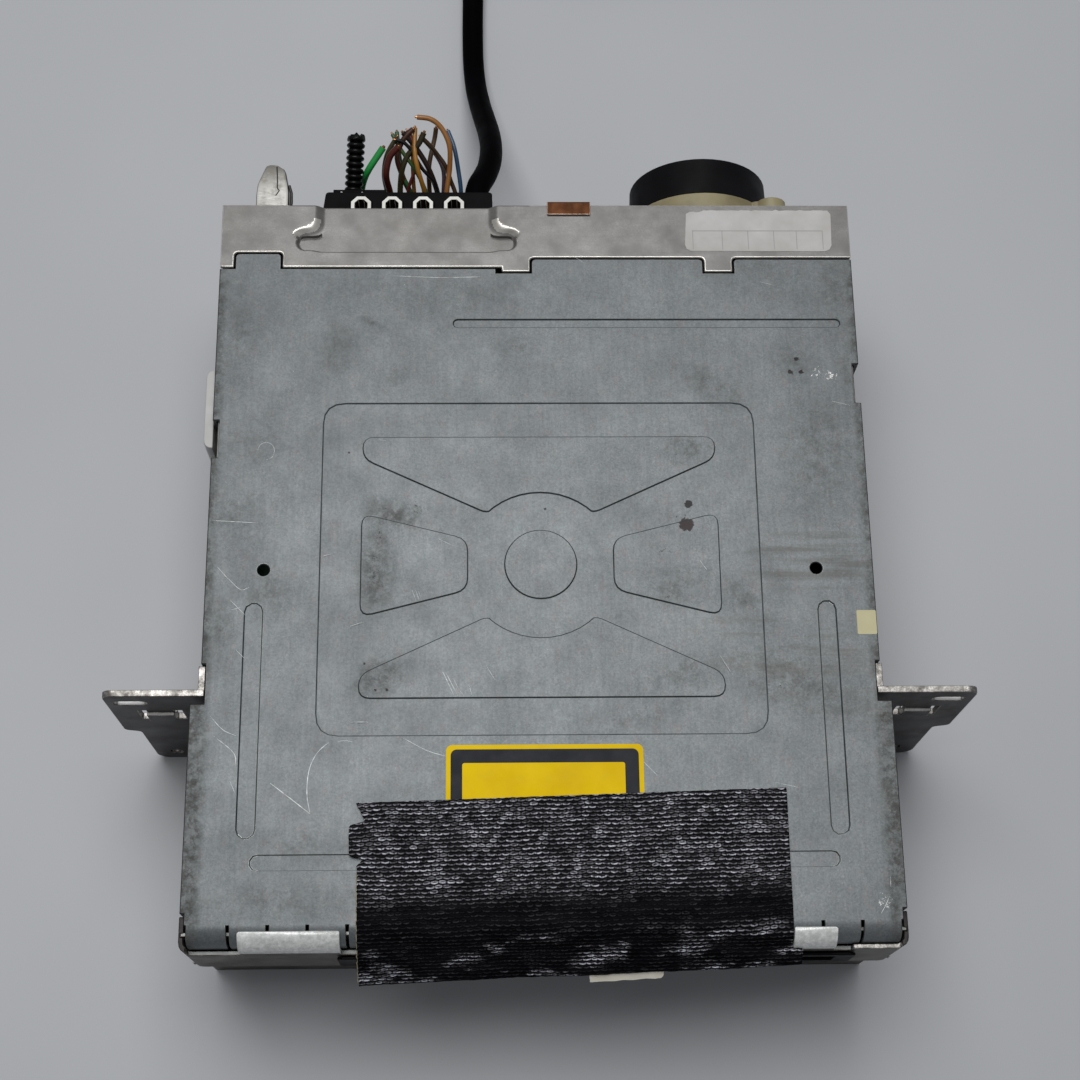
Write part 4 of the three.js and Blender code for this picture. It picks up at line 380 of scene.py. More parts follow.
# Pieces
def link(name, data, finish, body="unit"):
    piece = bpy.data.objects.new(name, data)
    show(piece)
    for look in finish.split():
        data.materials.append(looks[look].material)
    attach(piece, body)
    return piece


def finished(name, made):
    """The mesh of a bmesh, which is then freed."""
    mesh = bpy.data.meshes.new(name)
    made.to_mesh(mesh)
    made.free()
    return mesh


def outward(made):
    bmesh.ops.recalc_face_normals(made, faces=made.faces)


def thicken(made, faces, height):
    """A solid of flat faces and a height in millimetres. Returns its upper corners."""
    raised = bmesh.ops.extrude_face_region(made, geom=faces)
    tops = [g for g in raised["geom"] if isinstance(g, bmesh.types.BMVert)]
    bmesh.ops.translate(made, vec=(0, 0, height * MM), verts=tops)
    outward(made)
    return tops


def flat_merge(mesh):
    mesh_data = bmesh.new()
    mesh_data.from_mesh(mesh)
    bmesh.ops.remove_doubles(mesh_data, verts=mesh_data.verts, dist=2e-6)
    bmesh.ops.dissolve_limit(mesh_data, angle_limit=radians(0.6), verts=mesh_data.verts,
                             edges=mesh_data.edges, use_dissolve_boundaries=False)
    return mesh_data


def sharp(edge, degrees=28):
    return len(edge.link_faces) == 2 and edge.calc_face_angle(0) > radians(degrees)


def dress(node, finish, passes, body="unit", carve=None, tint=None):
    """A copy of a solid with its edges rounded, in place of the solid. Each pass has a test that picks edges by
    their middle in millimetres, a radius in millimetres, a number of segments and a material index."""
    made = flat_merge(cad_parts[node].data)
    done = set()
    if tint:
        for face in made.faces:
            face.material_index = tint(face.calc_center_median() / MM, face.normal)
    for test, radius, segments, index in passes:
        edges = [e for e in made.edges if sharp(e) and e not in done
                 and (test is None or test((e.verts[0].co + e.verts[1].co) / 2 / MM))]
        result = bmesh.ops.bevel(made, geom=edges, offset=radius * MM, segments=segments, profile=0.5,
                                 affect="EDGES", clamp_overlap=False, material=index)
        done.update(result["edges"])
        for face in result["faces"]:
            done.update(face.edges)
    if carve:
        carve(made)
    for face in made.faces:
        face.smooth = True
    piece = link(node + "_dressed", finished(node + "_dressed", made), finish, body)
    weighted = piece.modifiers.new("weighted", "WEIGHTED_NORMAL")
    weighted.keep_sharp = True
    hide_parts(node)
    return piece


def round_all(node, finish, radius, segments=2, index=0, **more):
    dress(node, finish, ((None, radius, segments, index),), **more)


def repaint(node, finish):
    """A new finish for a solid that is shown as it is."""
    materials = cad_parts[node].data.materials
    materials.clear()
    materials.append(looks[finish].material)


def smooth_line(points, step):
    """Points about a step apart on a smooth curve through the given ones, all in millimetres."""
    places = [Vector(p) for p in points]
    ends = [2 * places[0] - places[1], *places, 2 * places[-1] - places[-2]]
    line = [places[0]]
    for a, b, c, d in zip(ends, ends[1:], ends[2:], ends[3:]):
        knots = [0.0]
        for p, q in ((a, b), (b, c), (c, d)):
            knots.append(knots[-1] + sqrt((q - p).length))
        count = max(2, round((c - b).length / step))
        for k in range(1, count + 1):
            t = knots[1] + (knots[2] - knots[1]) * k / count
            mixed = [(p * (knots[i + 1] - t) + q * (t - knots[i])) / (knots[i + 1] - knots[i])
                     for i, (p, q) in enumerate(((a, b), (b, c), (c, d)))]
            wide = [(p * (knots[i + 2] - t) + q * (t - knots[i])) / (knots[i + 2] - knots[i])
                    for i, (p, q) in enumerate(zip(mixed, mixed[1:]))]
            line.append((wide[0] * (knots[2] - t) + wide[1] * (t - knots[1])) / (knots[2] - knots[1]))
    return line


def tube(name, points, radius, finish, sides=4):
    data = bpy.data.curves.new(name, "CURVE")
    data.dimensions = "3D"
    data.bevel_depth = radius * MM
    data.bevel_resolution = sides
    data.use_fill_caps = True
    spline = data.splines.new("POLY")
    spline.points.add(len(points) - 1)
    for place, point in zip(points, spline.points):
        point.co = (*(place * MM), 1)
    return link(name, data, finish)


# The harness cable, with its coil behind the camera's view
CABLE = 3.5
PANEL_HALF = (59.16, 46.97)
coil_start, coil_pitch, layer_turns, tail_out, tail_wait = 44, 7.6, 1.5, 13.8, 0.25
coil_entry = (-18.6, 284)
coil_middle = (coil_start + coil_entry[0], coil_entry[1])


def ease(t):
    t = min(1, max(0, t))
    return t * t * (3 - 2 * t)


def coil_point(turns):
    whole = 2 * layer_turns
    inward = min(turns, layer_turns) - max(0, min(turns, whole) - layer_turns)
    climb = ease((turns - layer_turns) / 0.5 + 0.5)
    tail = max(0, turns - whole) / 0.5
    drop = ease((tail - tail_wait) / (1 - tail_wait))
    radius = coil_start - coil_pitch * inward + tail_out * tail
    angle = pi - 2 * pi * turns
    return Vector((coil_middle[0] + radius * cos(angle), coil_middle[1] + radius * sin(angle),
                   CABLE + coil_pitch * (climb - drop)))


cable_route = [
    (-17.3, 115.8, 53.4), (-17.3, 121.2, 53.4), (-16.7, 124.6, 52.8), (-15.2, 129, 50), (-13.6, 135.6, 45.2),
    (-12.8, 146, 37.6), (-13.4, 157, 28.8), (-14.8, 167.4, 20.6), (-16.4, 178, 13), (-17.8, 189, 7),
    (-18.6, 200, 4.2), (-18.8, 212, 3.6), (-18.7, 226, 3.5), (-18.6, 241, 3.5), (-18.6, 256, 3.5),
    (-18.6, 270, 3.5),
]
coil_steps = 84
spiral = [coil_point(3.5 * k / coil_steps) for k in range(coil_steps + 1)]
cable_line = smooth_line(
    [*cable_route, spiral[0] - Vector((0, CABLE, 0)), *spiral, spiral[-1] - Vector((0, CABLE, 0)),
     spiral[-1] - Vector((0, 2 * CABLE, 0))], 2.5)
cable = tube("harness_cable_sheath", cable_line, CABLE, "black_sheath", 6)
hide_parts("harness_cable", "harness_coil")

# The cut wires, each with its bare copper end: radius, colour, and places from the plug's rear face outward. The
# first place is given as x and z.
WIRE_ROOT = 115.8
wires = {
    "wire_green_thick": (1, "2c9a4c", [
        (-51.5, 39), (-51.5, 119.3, 39.2), (-51.6, 122.6, 43.5), (-51.6, 124.2, 49.5), (-50.6, 125.2, 55),
        (-49, 126.2, 59.4), (-44.5, 131.3, 63.6),
    ]),
    "wire_red_thick": (1, "5a2a24", [
        (-42, 38), (-42, 119.3, 38.2), (-42.4, 123, 44), (-43.2, 124.6, 50.5), (-43.9, 126.2, 57.4),
        (-42.6, 129.6, 61.4), (-40.1, 131.3, 64),
    ]),
    "wire_olive": (0.7, "45432a", [
        (-45.5, 35), (-45.5, 119.3, 35.2), (-44.8, 124.6, 40), (-44.2, 126.2, 46), (-44.8, 128.9, 52),
        (-43.7, 132.2, 58), (-40.6, 135.9, 62),
    ]),
    "wire_green_dark": (0.65, "2b5a34", [
        (-37, 40), (-37, 119.2, 40.2), (-36.8, 122.6, 45.5), (-37, 124.6, 50), (-39, 127.8, 53.2),
        (-40.1, 133.1, 56), (-40.9, 140.6, 57),
    ]),
    "wire_yellow": (0.7, "a5742a", [
        (-33, 42), (-33, 119.3, 42.2), (-32.8, 122.5, 47.5), (-32.8, 123.5, 52), (-34.5, 127.5, 58),
        (-35.3, 131.4, 60), (-35.3, 138.9, 62),
    ]),
    "wire_orange_long": (0.75, "986630", [
        (-26.4, 50), (-26.4, 119.3, 50.2), (-26, 123.4, 53), (-25.1, 129.7, 56.5), (-25.3, 134.8, 60),
        (-27.9, 139.3, 62.4), (-30.8, 141, 63.6), (-34.6, 141.5, 63.8),
    ]),
    "wire_violet": (0.65, "4a3640", [
        (-27.4, 38), (-27.4, 119.4, 38.2), (-27.2, 123.6, 42), (-27.2, 126, 46), (-27.3, 132.3, 50),
        (-30.6, 137.9, 52), (-33.8, 140.8, 54),
    ]),
    "wire_brown": (0.7, "56402a", [
        (-31.6, 36), (-31.6, 119.4, 36.2), (-31.5, 123.6, 40.5), (-31.4, 126.4, 45.5), (-31.4, 132.1, 52),
        (-29.6, 139.6, 56), (-29.2, 141.4, 58),
    ]),
    "wire_blue": (0.65, "33506c", [
        (-22.6, 42), (-22.6, 119.3, 42.2), (-22.2, 122.8, 46), (-21.9, 124.8, 49.5), (-22.7, 130.5, 53),
        (-23.9, 136.2, 56), (-25.7, 141.3, 56.5),
    ]),
}

# Strands that the solids leave out, thinner and darker, tangled between the others
strands = {
    "strand_olive": (0.85, "3b3722", [
        (-40, 43.4), (-40, 119.6, 43.6), (-40.1, 124.5, 49), (-39.1, 129, 56), (-37.1, 132.1, 59),
        (-34.3, 134, 61), (-32.6, 136.7, 63),
    ]),
    "strand_black": (0.55, "151417", [
        (-28.9, 44), (-28.9, 119.8, 44.4), (-29.2, 125.8, 51), (-33.4, 129, 56), (-36.5, 132.7, 60),
        (-38.9, 134.3, 62), (-41, 134.6, 62.6),
    ]),
    "strand_umber": (0.65, "46331f", [
        (-23.2, 45), (-23.2, 119.8, 45.4), (-23.5, 123.9, 49.5), (-24.9, 127, 52), (-26.4, 130.2, 55),
        (-28.6, 132.7, 57), (-31.2, 134.6, 60), (-33.6, 136, 62),
    ]),
    "strand_amber": (0.6, "7c5424", [
        (-35.3, 42.2), (-35.4, 119.8, 42.6), (-35.8, 124.1, 48.5), (-36.1, 128, 53.5), (-36.1, 133.3, 59),
        (-36.9, 137.9, 62),
    ]),
    "strand_rust": (0.8, "4a2b1c", [
        (-34.6, 40), (-34.6, 119.8, 40.6), (-36.5, 124, 47), (-39.4, 128, 54), (-40.6, 131.5, 58.5),
        (-38.6, 135.5, 61.5), (-35.8, 138, 63),
    ]),
    "strand_leaf": (0.6, "3c562a", [
        (-31, 43), (-31, 120, 43.6), (-32.4, 124.6, 50), (-35.7, 129, 56), (-39.4, 133, 59.5),
        (-42, 137.4, 61),
    ]),
    "strand_dark": (0.8, "2a1e16", [
        (-27.8, 42), (-27.8, 120, 42.6), (-29, 125, 49), (-31.8, 130, 55.5), (-35.8, 134.6, 60),
        (-38.8, 137, 62.6),
    ]),
    "strand_red": (0.5, "5c2620", [
        (-38.6, 44.6), (-38.4, 120, 45.2), (-37.4, 125, 51.5), (-35.2, 129.6, 56.2), (-35.6, 134.2, 60.4),
        (-37.6, 137.8, 62.4),
    ]),
}


def lathe(name, profile, finish, place=(0, 0, 0), way=(0, 0, 1), sides=32, body="unit", closed=False):
    """A turned piece: profile points are (radius, height) in millimetres along way, from place."""
    made = bmesh.new()
    rings = []
    for radius, height in profile:
        if radius == 0:
            rings.append([made.verts.new((0, 0, height * MM))])
        else:
            rings.append([made.verts.new((radius * MM * cos(a), radius * MM * sin(a), height * MM))
                          for a in (2 * pi * k / sides for k in range(sides))])
    pairs = list(zip(rings, rings[1:]))
    if closed:
        pairs.append((rings[-1], rings[0]))
    for low, high in pairs:
        for k in range(sides):
            n = (k + 1) % sides
            corners = [low[k % len(low)], low[n % len(low)], high[n % len(high)], high[k % len(high)]]
            unique = list(dict.fromkeys(corners))
            if len(unique) > 2:
                made.faces.new(unique)
    outward(made)
    for face in made.faces:
        face.smooth = True
    turn = Vector((0, 0, 1)).rotation_difference(Vector(way)).to_matrix().to_4x4()
    bmesh.ops.transform(made, matrix=Matrix.Translation(Vector(place) * MM) @ turn, verts=made.verts)
    mesh = finished(name, made)
    mesh.set_sharp_from_angle(angle=radians(35))
    return link(name, mesh, finish, body)


for name, (radius, color, points) in {**wires, **strands}.items():
    (x, z), *way = points
    line = smooth_line([(x, WIRE_ROOT, z), *way], 0.6)
    shade = "".join(f"{max(0, int(color[i:i + 2], 16) - 22):02x}" for i in (0, 2, 4))
    plastic(name, color, shade, 0.35, 1.5)
    sleeve = tube(name + "_sleeve", line, radius, name, 5)
    core = lathe(name + "_core", [(0, -0.4), (radius * 0.5, -0.4), (radius * 0.5, 0.5), (radius * 0.3, 0.7),
                                  (0, 0.7)], "copper_core", line[-1], line[-1] - line[-2], 10)
    if name in wires:
        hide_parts(name)
dress("cable_connector", "black_plastic", ((None, 0.5, 3, 0),))


# Sheet metal. The tests pick edges and faces by their middle in millimetres.
LID_BEND, LID_END = 88.4, 92  # the flat top's side ends inside the bend, and its rear end
HOLE_X = 74.1  # the small holes beside the pressings keep the edge of the sheet


def on_top(p):
    return p.z > LID_TOP - 0.6


def shade_side_bends(made):
    """The bends at the lid's sides get painted shade, darker than its other edges."""
    for face in made.faces:
        c = face.calc_center_median() / MM
        if face.material_index == 2 and on_top(c) and abs(c.x) > LID_BEND and c.y < LID_END:
            face.material_index = 4


def panel_rim(p):
    return lid_pressing(p) and 0.93 < max(abs(p.x) / PANEL_HALF[0], abs(p.y) / PANEL_HALF[1]) < 1.04


def lid_pressing(p):
    return on_top(p) and abs(p.x) < 86 and -90 < p.y < 80 and not abs(abs(p.x) - HOLE_X) < 2.2


# The stamping in the cover's top: middle, half sizes and corner radius of its bar, and of its neck out to the rear
RECESS_BAR, RECESS_NECK, RECESS_DEPTH = (-37, 96.8, 30.6, 2, 2), (-37.1, 104.5, 23.1, 8.5, 0), 1.6


def round_box(x, y, middle_x, middle_y, half_x, half_y, radius):
    """Distance outside a box with round corners, negative inside."""
    across, up = abs(x - middle_x) - half_x + radius, abs(y - middle_y) - half_y + radius
    return hypot(max(across, 0), max(up, 0)) + min(max(across, up), 0) - radius


def pressed_in(x, y):
    """How far the stamping takes the cover's top down at a place, 0 to 1."""
    bar, neck, melt = round_box(x, y, *RECESS_BAR), round_box(x, y, *RECESS_NECK), 4.5
    near = max(melt - abs(bar - neck), 0) / melt
    outside = min(bar, neck) - near * near * melt / 4
    return 1 - ease(outside / (0.6 + 2.5 * ease((y - 97.3) / 3)))


PRESS_X, PRESS_Y, PRESS_Z = (-70.6, -2.0), 93.4, 66.0  # the bounds of the part that press_recess makes anew


def press_recess(made):
    """The cover's top beside and in the recess, replaced by one smooth skin that also rounds the rear edge. The
    stamping's upper shoulders get a painted highlight.
    """
    for place, way in (((PRESS_X[0], 0, 0), (1, 0, 0)), ((PRESS_X[1], 0, 0), (1, 0, 0)),
                       ((0, PRESS_Y, 0), (0, 1, 0)), ((0, 0, PRESS_Z), (0, 0, 1))):
        bmesh.ops.bisect_plane(made, geom=[*made.verts, *made.edges, *made.faces],
                               plane_co=Vector(place) * MM, plane_no=way)
    gone = []
    for face in made.faces:
        c = face.calc_center_median() / MM
        if PRESS_X[0] < c.x < PRESS_X[1] and c.y > PRESS_Y and c.z > PRESS_Z:
            above = c.z > LID_TOP - 1.85 and face.normal.z > -0.5 and face.normal.y > -0.7
            if above or face.normal.y > 0.5 and c.y > REAR_WALL - 0.3:
                gone.append(face)
    bmesh.ops.delete(made, geom=gone, context="FACES")
    columns, rows, edge = 210, 62, 0.35
    grid = []
    for j in range(rows + 6):
        line = []
        for i in range(columns + 1):
            x = PRESS_X[0] + (PRESS_X[1] - PRESS_X[0]) * i / columns
            y = PRESS_Y + (REAR_WALL - edge - PRESS_Y) * min(j, rows) / rows
            z = LID_TOP - RECESS_DEPTH * pressed_in(x, y)
            if j > rows:
                a = pi / 2 * min(j - rows, 4) / 4
                y, z = y + edge * sin(a), z - edge * (1 - cos(a))
            if j > rows + 4:
                z = PRESS_Z
            line.append(made.verts.new((x * MM, y * MM, z * MM)))
        grid.append(line)
    for low, high in zip(grid, grid[1:]):
        for i in range(columns):
            face = made.faces.new((low[i], low[i + 1], high[i + 1], high[i]))
            face.normal_update()
            c = face.calc_center_median() / MM
            # painted highlight on the gently sloping faces of the stamping's upper shoulders
            face.material_index = int(0.75 < face.normal.z < 0.985 and c.z > LID_TOP - 1 and 97.5 < c.y < 104.5)


def cover_front(p):
    return on_top(p) and p.y < 96


# The front frame: the hooks' ends, the ledge's inner end, the collar's inside and the plate's rear
HOOKS = ((-77.4, -51.7), (62.9, 73.9))
LEDGE_END, COLLAR_INSIDE, PLATE_REAR = 74, 90.9, -95


# Painted shade: the front frame's edges behind the lid's roll, and the front plate's top seen through the slots,
# get the dark gap finish.
def shade_behind_roll(p):
    low = 60.8 < p.z < 63 and p.y > -101.5
    return abs(p.x) < COLLAR_INSIDE and not hook_edge(p) and (low or 66.5 < p.z < 68.5 and p.y < -92)


def hook_corner(p):
    return 70.5 < p.z < 70.95 and abs(p.y + 97.27) < 0.12


def on_ledge(p):
    return LEDGE_END < abs(p.x) < COLLAR_INSIDE and p.y < PLATE_REAR


def ledge_rim(p):
    return 63.6 < p.z < 65.6 and on_ledge(p)


def collar_side(p):
    return abs(p.x) > COLLAR_INSIDE and p.z > 63


def hook_edge(p, slack=0.3):
    return p.z > 62 and p.y < -88 and any(a - slack < p.x < b + slack for a, b in HOOKS)


def frame_tint(centre, normal):
    """Hooks over the lid's roll in a near white painted highlight, a speckled ledge, a brownish front plate
    darkened as painted shade, and a rusty collar.
    """
    if hook_edge(centre, 0.1):
        return 2
    if on_ledge(centre) and centre.z > 63 and normal.z > 0.7:
        return 5
    # painted shade on the front plate's forward face
    if normal.y < -0.3 and centre.y < PLATE_REAR:
        return 6
    return 4 if abs(centre.x) > 91 and centre.z > 63 else 0


BRACKET_CUTS = ((104, 113.8, 60.2, 64.8), (98.2, 106.4, 45.6, 55.4))  # around the oblong hole and the lanced tabs


def bracket_tint(centre, normal):
    """The cut walls of the oblong hole and of the lanced tabs are near white as a painted highlight, and the upper
    edges are speckled.
    """
    cut = any(x0 < abs(centre.x) < x1 and z0 < centre.z < z1 for x0, x1, z0, z1 in BRACKET_CUTS)
    return 2 if cut and abs(normal.y) < 0.6 else int(normal.z > 0.7)


dress("top_lid", "lid_zinc lid_crease lid_edge lid_faint gap_dark",
      ((panel_rim, 0.2, 2, 3), (lid_pressing, 0.18, 2, 1), (on_top, 0.25, 2, 2), (None, 0.12, 1, 2)),
      carve=shade_side_bends)
dress("rear_cover", "cover_zinc cover_edge", ((cover_front, 0.4, 3, 1), (None, 0.2, 2, 1)), carve=press_recess)
dress("front_frame", "frame_zinc frame_edge hook_zinc gap_dark rusty_zinc bare_edge plate_zinc",
      ((shade_behind_roll, 0.15, 1, 3), (collar_side, 0.25, 2, 4), (ledge_rim, 0.2, 2, 5), (hook_corner, 0.75, 3, 2),
       (hook_edge, 0.3, 3, 2), (None, 0.25, 2, 1)), tint=frame_tint)
round_all("chassis_tray", "frame_zinc frame_edge", 0.15, 1, 1)
for side in ("left", "right"):
    round_all(f"mounting_bracket_{side}", "bare_steel bare_edge slot_wall", 0.2, 2, 1, tint=bracket_tint)
    for k in (1, 2):
        repaint(f"bracket_screw_{side}_{k}", "bright_steel")
    repaint(f"case_screw_{side}", "bright_steel")

# Plastic and small pieces outside
round_all("disc_slot_bezel", "black_plastic", 0.25)
round_all("contact_clip", "copper clip_edge", 0.12, 2, 1)
round_all("side_bumper", "white_plastic", 0.3)
round_all("connector_header", "black_plastic", 0.2, 1)
round_all("connector_plug", "black_plastic", 0.2)
COLLAR_X, COLLAR_PITCH, COLLAR_Y, COLLAR_FLOOR = -50.7, 9, 112.9, 60
for k in range(4):
    def well_tint(centre, normal, x=COLLAR_X + COLLAR_PITCH * k):
        """The walls that face the collar's middle, and its floor, are dark: painted shade in the collar's well."""
        return int((centre.x - x) * normal.x + (centre.y - COLLAR_Y) * normal.y < -0.5 or centre.z < COLLAR_FLOOR)

    round_all(f"plug_collar_{k + 1}", "collar_white collar_well", 0.1, tint=well_tint)
round_all("fan_flange", "cream_plastic", 0.35)
round_all("fan_housing", "fan_black", 0.2)
round_all("fan_rotor", "fan_black", 0.15, 1, body="fan_wheel")
repaint("aerial_socket", "bright_steel")

# The finger's outline in plan, its underside and its height
FINGER = [
    (-81.4, 109), (-81.4, 114.8), (-81.4, 117.8), (-81.1, 120.9), (-80.0, 123.9), (-79.2, 126.0),
    (-78.7, 127.0), (-77.6, 127.4), (-75.5, 127.3), (-74.6, 126.6), (-73.5, 125.9), (-72.9, 124.6),
    (-72.6, 122.4), (-72.2, 120.6), (-71.9, 117.9), (-71.8, 109),
]
FINGER_LOW, FINGER_HEIGHT = 52.6, 8.4


def finger_finish():
    """Clear plastic over dark metal: pale near the wall, smoky at the tip."""
    f = Finish("finger_clear", "c4c2bb", 0.2)
    base = f.mix(f.ramp(f.split(f.place)["Y"], 0.1185, 0.1262), "d3d1ca", "7f7c76")
    base = f.mix(f.ramp(f.noise(2.2, 5), 0.48, 0.66, 0, 0.55), base, "8a8378")
    base = f.mix(f.ramp(f.noise(1.4, 4, (0.3, 1.6, 1)), 0.6, 0.68, 0, 0.6), base, "ecebe6")
    f.color(base)
    f.bump(f.noise(2.5, 3, (0.5, 1, 1)), 0.25, 0.7)


def finger():
    made = bmesh.new()
    base = made.faces.new([made.verts.new((x * MM, y * MM, FINGER_LOW * MM)) for x, y in FINGER])
    tops = thicken(made, [base], FINGER_HEIGHT)
    rim = [e for e in made.edges if all(v in tops for v in e.verts)]
    bmesh.ops.bevel(made, geom=rim, offset=0.9 * MM, segments=4, profile=0.5, affect="EDGES", clamp_overlap=False)
    for face in made.faces:
        face.smooth = True
        face.normal_update()
        face.material_index = int(face.normal.z < 0.35 or face.normal.z < 0.8 and abs(face.normal.x) > 0.5)
    finger_finish()
    post = link("finger_post", finished("finger_post", made), "finger_clear finger_dark")
    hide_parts("locating_finger")
    top = FINGER_LOW + FINGER_HEIGHT
    crack = ((-75.6, 126.4), (-75.5, 125), (-75.4, 123.4), (-75.3, 121.4), (-75.3, 119.4), (-74.7, 118.5),
             (-75.7, 116.9))
    tube("finger_crack", [Vector((x, y, top)) for x, y in crack], 0.2, "finger_dark", 2)
    rib = ((-71.6, 109.2), (-71.1, 115), (-71.2, 118), (-71.9, 120.4))
    tube("finger_rib", [Vector((x, y, top - 0.6)) for x, y in rib], 0.45, "finger_dark", 3)


finger()
for k, (x, y) in enumerate(((-56.6, 118.0), (-50.6, 117.9))):
    lathe(f"plug_stud_{k}", [(0, 60.3), (0.42, 60.4), (0.4, 60.65), (0, 60.75)], "collar_white", (x, y, 0),
          sides=12)

STUB_FROM, STUB_WAY, STUB_RIBS = (-53.4, 119.9, 57), (1, 15.6, 6), 9
STUB_RADIUS, RIB_HEIGHT, STUB_BORE, STUB_TORN = 1.75, 0.95, 1.3, 2.2


def ribbed_stub():
    """A cut end of ribbed sleeve, with round ribs and a ragged end."""
    length = Vector(STUB_WAY).length
    steps = STUB_RIBS * 8
    outer = [(STUB_RADIUS + RIB_HEIGHT * abs(sin(pi * k / 8)) ** 0.7, length * k / steps)
             for k in range(steps + 1)]
    inner = [(STUB_BORE, length * (1 - k / 12)) for k in range(13)]
    stub = lathe("ribbed_stub_cut", outer + inner, "black_glossy", STUB_FROM, STUB_WAY, 28, closed=True)
    base, way = Vector(STUB_FROM), Vector(STUB_WAY).normalized()
    for vertex in stub.data.vertices:
        place = vertex.co / MM
        high = (place - base).dot(way)
        torn = ease((high - length + STUB_TORN) / STUB_TORN)
        vertex.co += (noise(place * 1.1) * 0.12 + noise(place * 0.9 + Vector((7, 0, 0))) * 1.5 * torn) * way * MM
    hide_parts("ribbed_sleeve_stub")


ribbed_stub()

# Pieces inside
for finish, nodes in (
        ("board_green", "main_board"), ("frame_zinc", "tuner_can drive_frame"), ("lens_blue", "laser_lens"),
        ("bright_steel", "spindle_motor guide_rod_left guide_rod_right lead_screw sled_motor loading_motor"),
        ("grey_aluminium", "heat_sink laser_sled"), ("white_plastic", "roller_shaft_gear drive_gear"),
        ("black_rubber", "loading_roller damper_left_1 damper_left_2 damper_right_1 damper_right_2"),
        ("black_plastic", "turntable")):
    for node in nodes.split():
        repaint(node, finish)


# The cloth tape: flat on the lid, over the front roll, then a flap that stands off
TAPE_TOP = (-64.8, -61.5)
TAPE_LENGTH = (50, 47.05)
TAPE_RIGHT, TAPE_THICK = 62.7, 0.42
ROLL_PLACE, ROLL_RADIUS, ROLL_TURN, FLAP_SLOPE = (-95.5, 65), 5.3, pi / 3, 0.85
TAPE_LEFT = [(0, -48.2), (4.2, -46), (4.9, -46.1), (5.7, -49.5), (7, -49.9), (13.8, -49.7), (14.4, -45.8),
             (16.2, -47.8), (18, -47.6), (31, -47.4), (50, -47.5)]


def between_knots(knots, t):
    for (t0, a), (t1, b) in zip(knots, knots[1:]):
        if t <= t1:
            return a + (b - a) * (t - t0) / (t1 - t0)
    return knots[-1][1]


def tape_place(u, v):
    """Place (y, z) of the tape's lower side, at a share u of its width and a length v from its top edge, and how
    far along the roll and the flap that is."""
    top = TAPE_TOP[0] + (TAPE_TOP[1] - TAPE_TOP[0]) * u + 0.12 * noise(Vector((u * 60, 0, 0)))
    y, z = ROLL_PLACE
    flat = top - y
    bend = ROLL_RADIUS * ROLL_TURN
    if v <= flat:
        return top - v, z + ROLL_RADIUS, 0.0
    a = pi / 2 + min(v - flat, bend) / ROLL_RADIUS
    y, z = y + ROLL_RADIUS * cos(a), z + ROLL_RADIUS * sin(a)
    rest = max(0, v - flat - bend)
    return y - rest * cos(FLAP_SLOPE), z - rest * sin(FLAP_SLOPE), rest


def cloth_tape():
    columns, rows = 220, 104
    made = bmesh.new()
    uv_layer = made.loops.layers.uv.new("flat")
    grid, flats, area = [], [], 0
    for j in range(rows + 1):
        line, flat_line = [], []
        for k in range(columns + 1):
            u = k / columns
            v = (TAPE_LENGTH[0] + (TAPE_LENGTH[1] - TAPE_LENGTH[0]) * u) * j / rows
            v *= 1 + 0.004 * noise(Vector((u * 14, 4, 0)))
            y, z, rest = tape_place(u, v)
            left = between_knots(TAPE_LEFT, v) + 0.35 * noise(Vector((v * 1.7, 3, 0)))
            right = TAPE_RIGHT + 0.9 * ease((rest - 1) / 1.2) + 1.9 * ease((rest - 2.3) / 0.3)
            x = left + (right - left) * u
            ripple = 0.3 * noise(Vector((x * 0.06, v * 0.14, 1))) + 0.1 * noise(Vector((x * 0.3, v * 0.5, 5)))
            lift = max(0, ripple + 0.12) + 0.5 * ease(1 - (x - left) / 4) * max(0, noise(Vector((v * 0.4, 8, 0))))
            hang = min(1, rest / 4)
            dip = 0.25 * exp(-((v - 29) / 2.2) ** 2)
            y -= (0.7 * lift + 0.6 * noise(Vector((x * 0.05, 2, v * 0.05)))) * hang
            z += (lift + dip) * (1 - hang) * (1 if v > 0.8 else 0.25)
            line.append(made.verts.new(Vector((x, y, z)) * MM))
            flat_line.append((x, v))
        grid.append(line)
        flats.append(flat_line)
    for j in range(rows):
        for k in range(columns):
            corners = ((j, k), (j + 1, k), (j + 1, k + 1), (j, k + 1))
            face = made.faces.new([grid[a][b] for a, b in corners])
            face.smooth = True
            spread = [Vector(flats[a][b]) * MM for a, b in corners]
            area += abs((spread[2] - spread[0]).cross(spread[3] - spread[1])) / 2
            for loop, flat in zip(face.loops, spread):
                loop[uv_layer].uv = flat
    piece = link("cloth_tape_weave", finished("cloth_tape_weave", made), "tape_cloth tape_back")
    solid = piece.modifiers.new("thickness", "SOLIDIFY")
    solid.thickness = TAPE_THICK * MM
    solid.offset = 1
    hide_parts("cloth_tape")
    fringe = []
    for k in range(60):
        v = 18 + 31.5 * k / 59
        y, z, rest = tape_place(0, v)
        x = between_knots(TAPE_LEFT, v) - 0.12 + 0.45 * noise(Vector((v * 0.9, 6, 0)))
        fringe.append(Vector((x, y, z + 0.1 + 0.3 * noise(Vector((v * 0.7, 1, 4))))))
    thread = tube("tape_fray", fringe, 0.13, "fray_thread", 2)


cloth_tape()


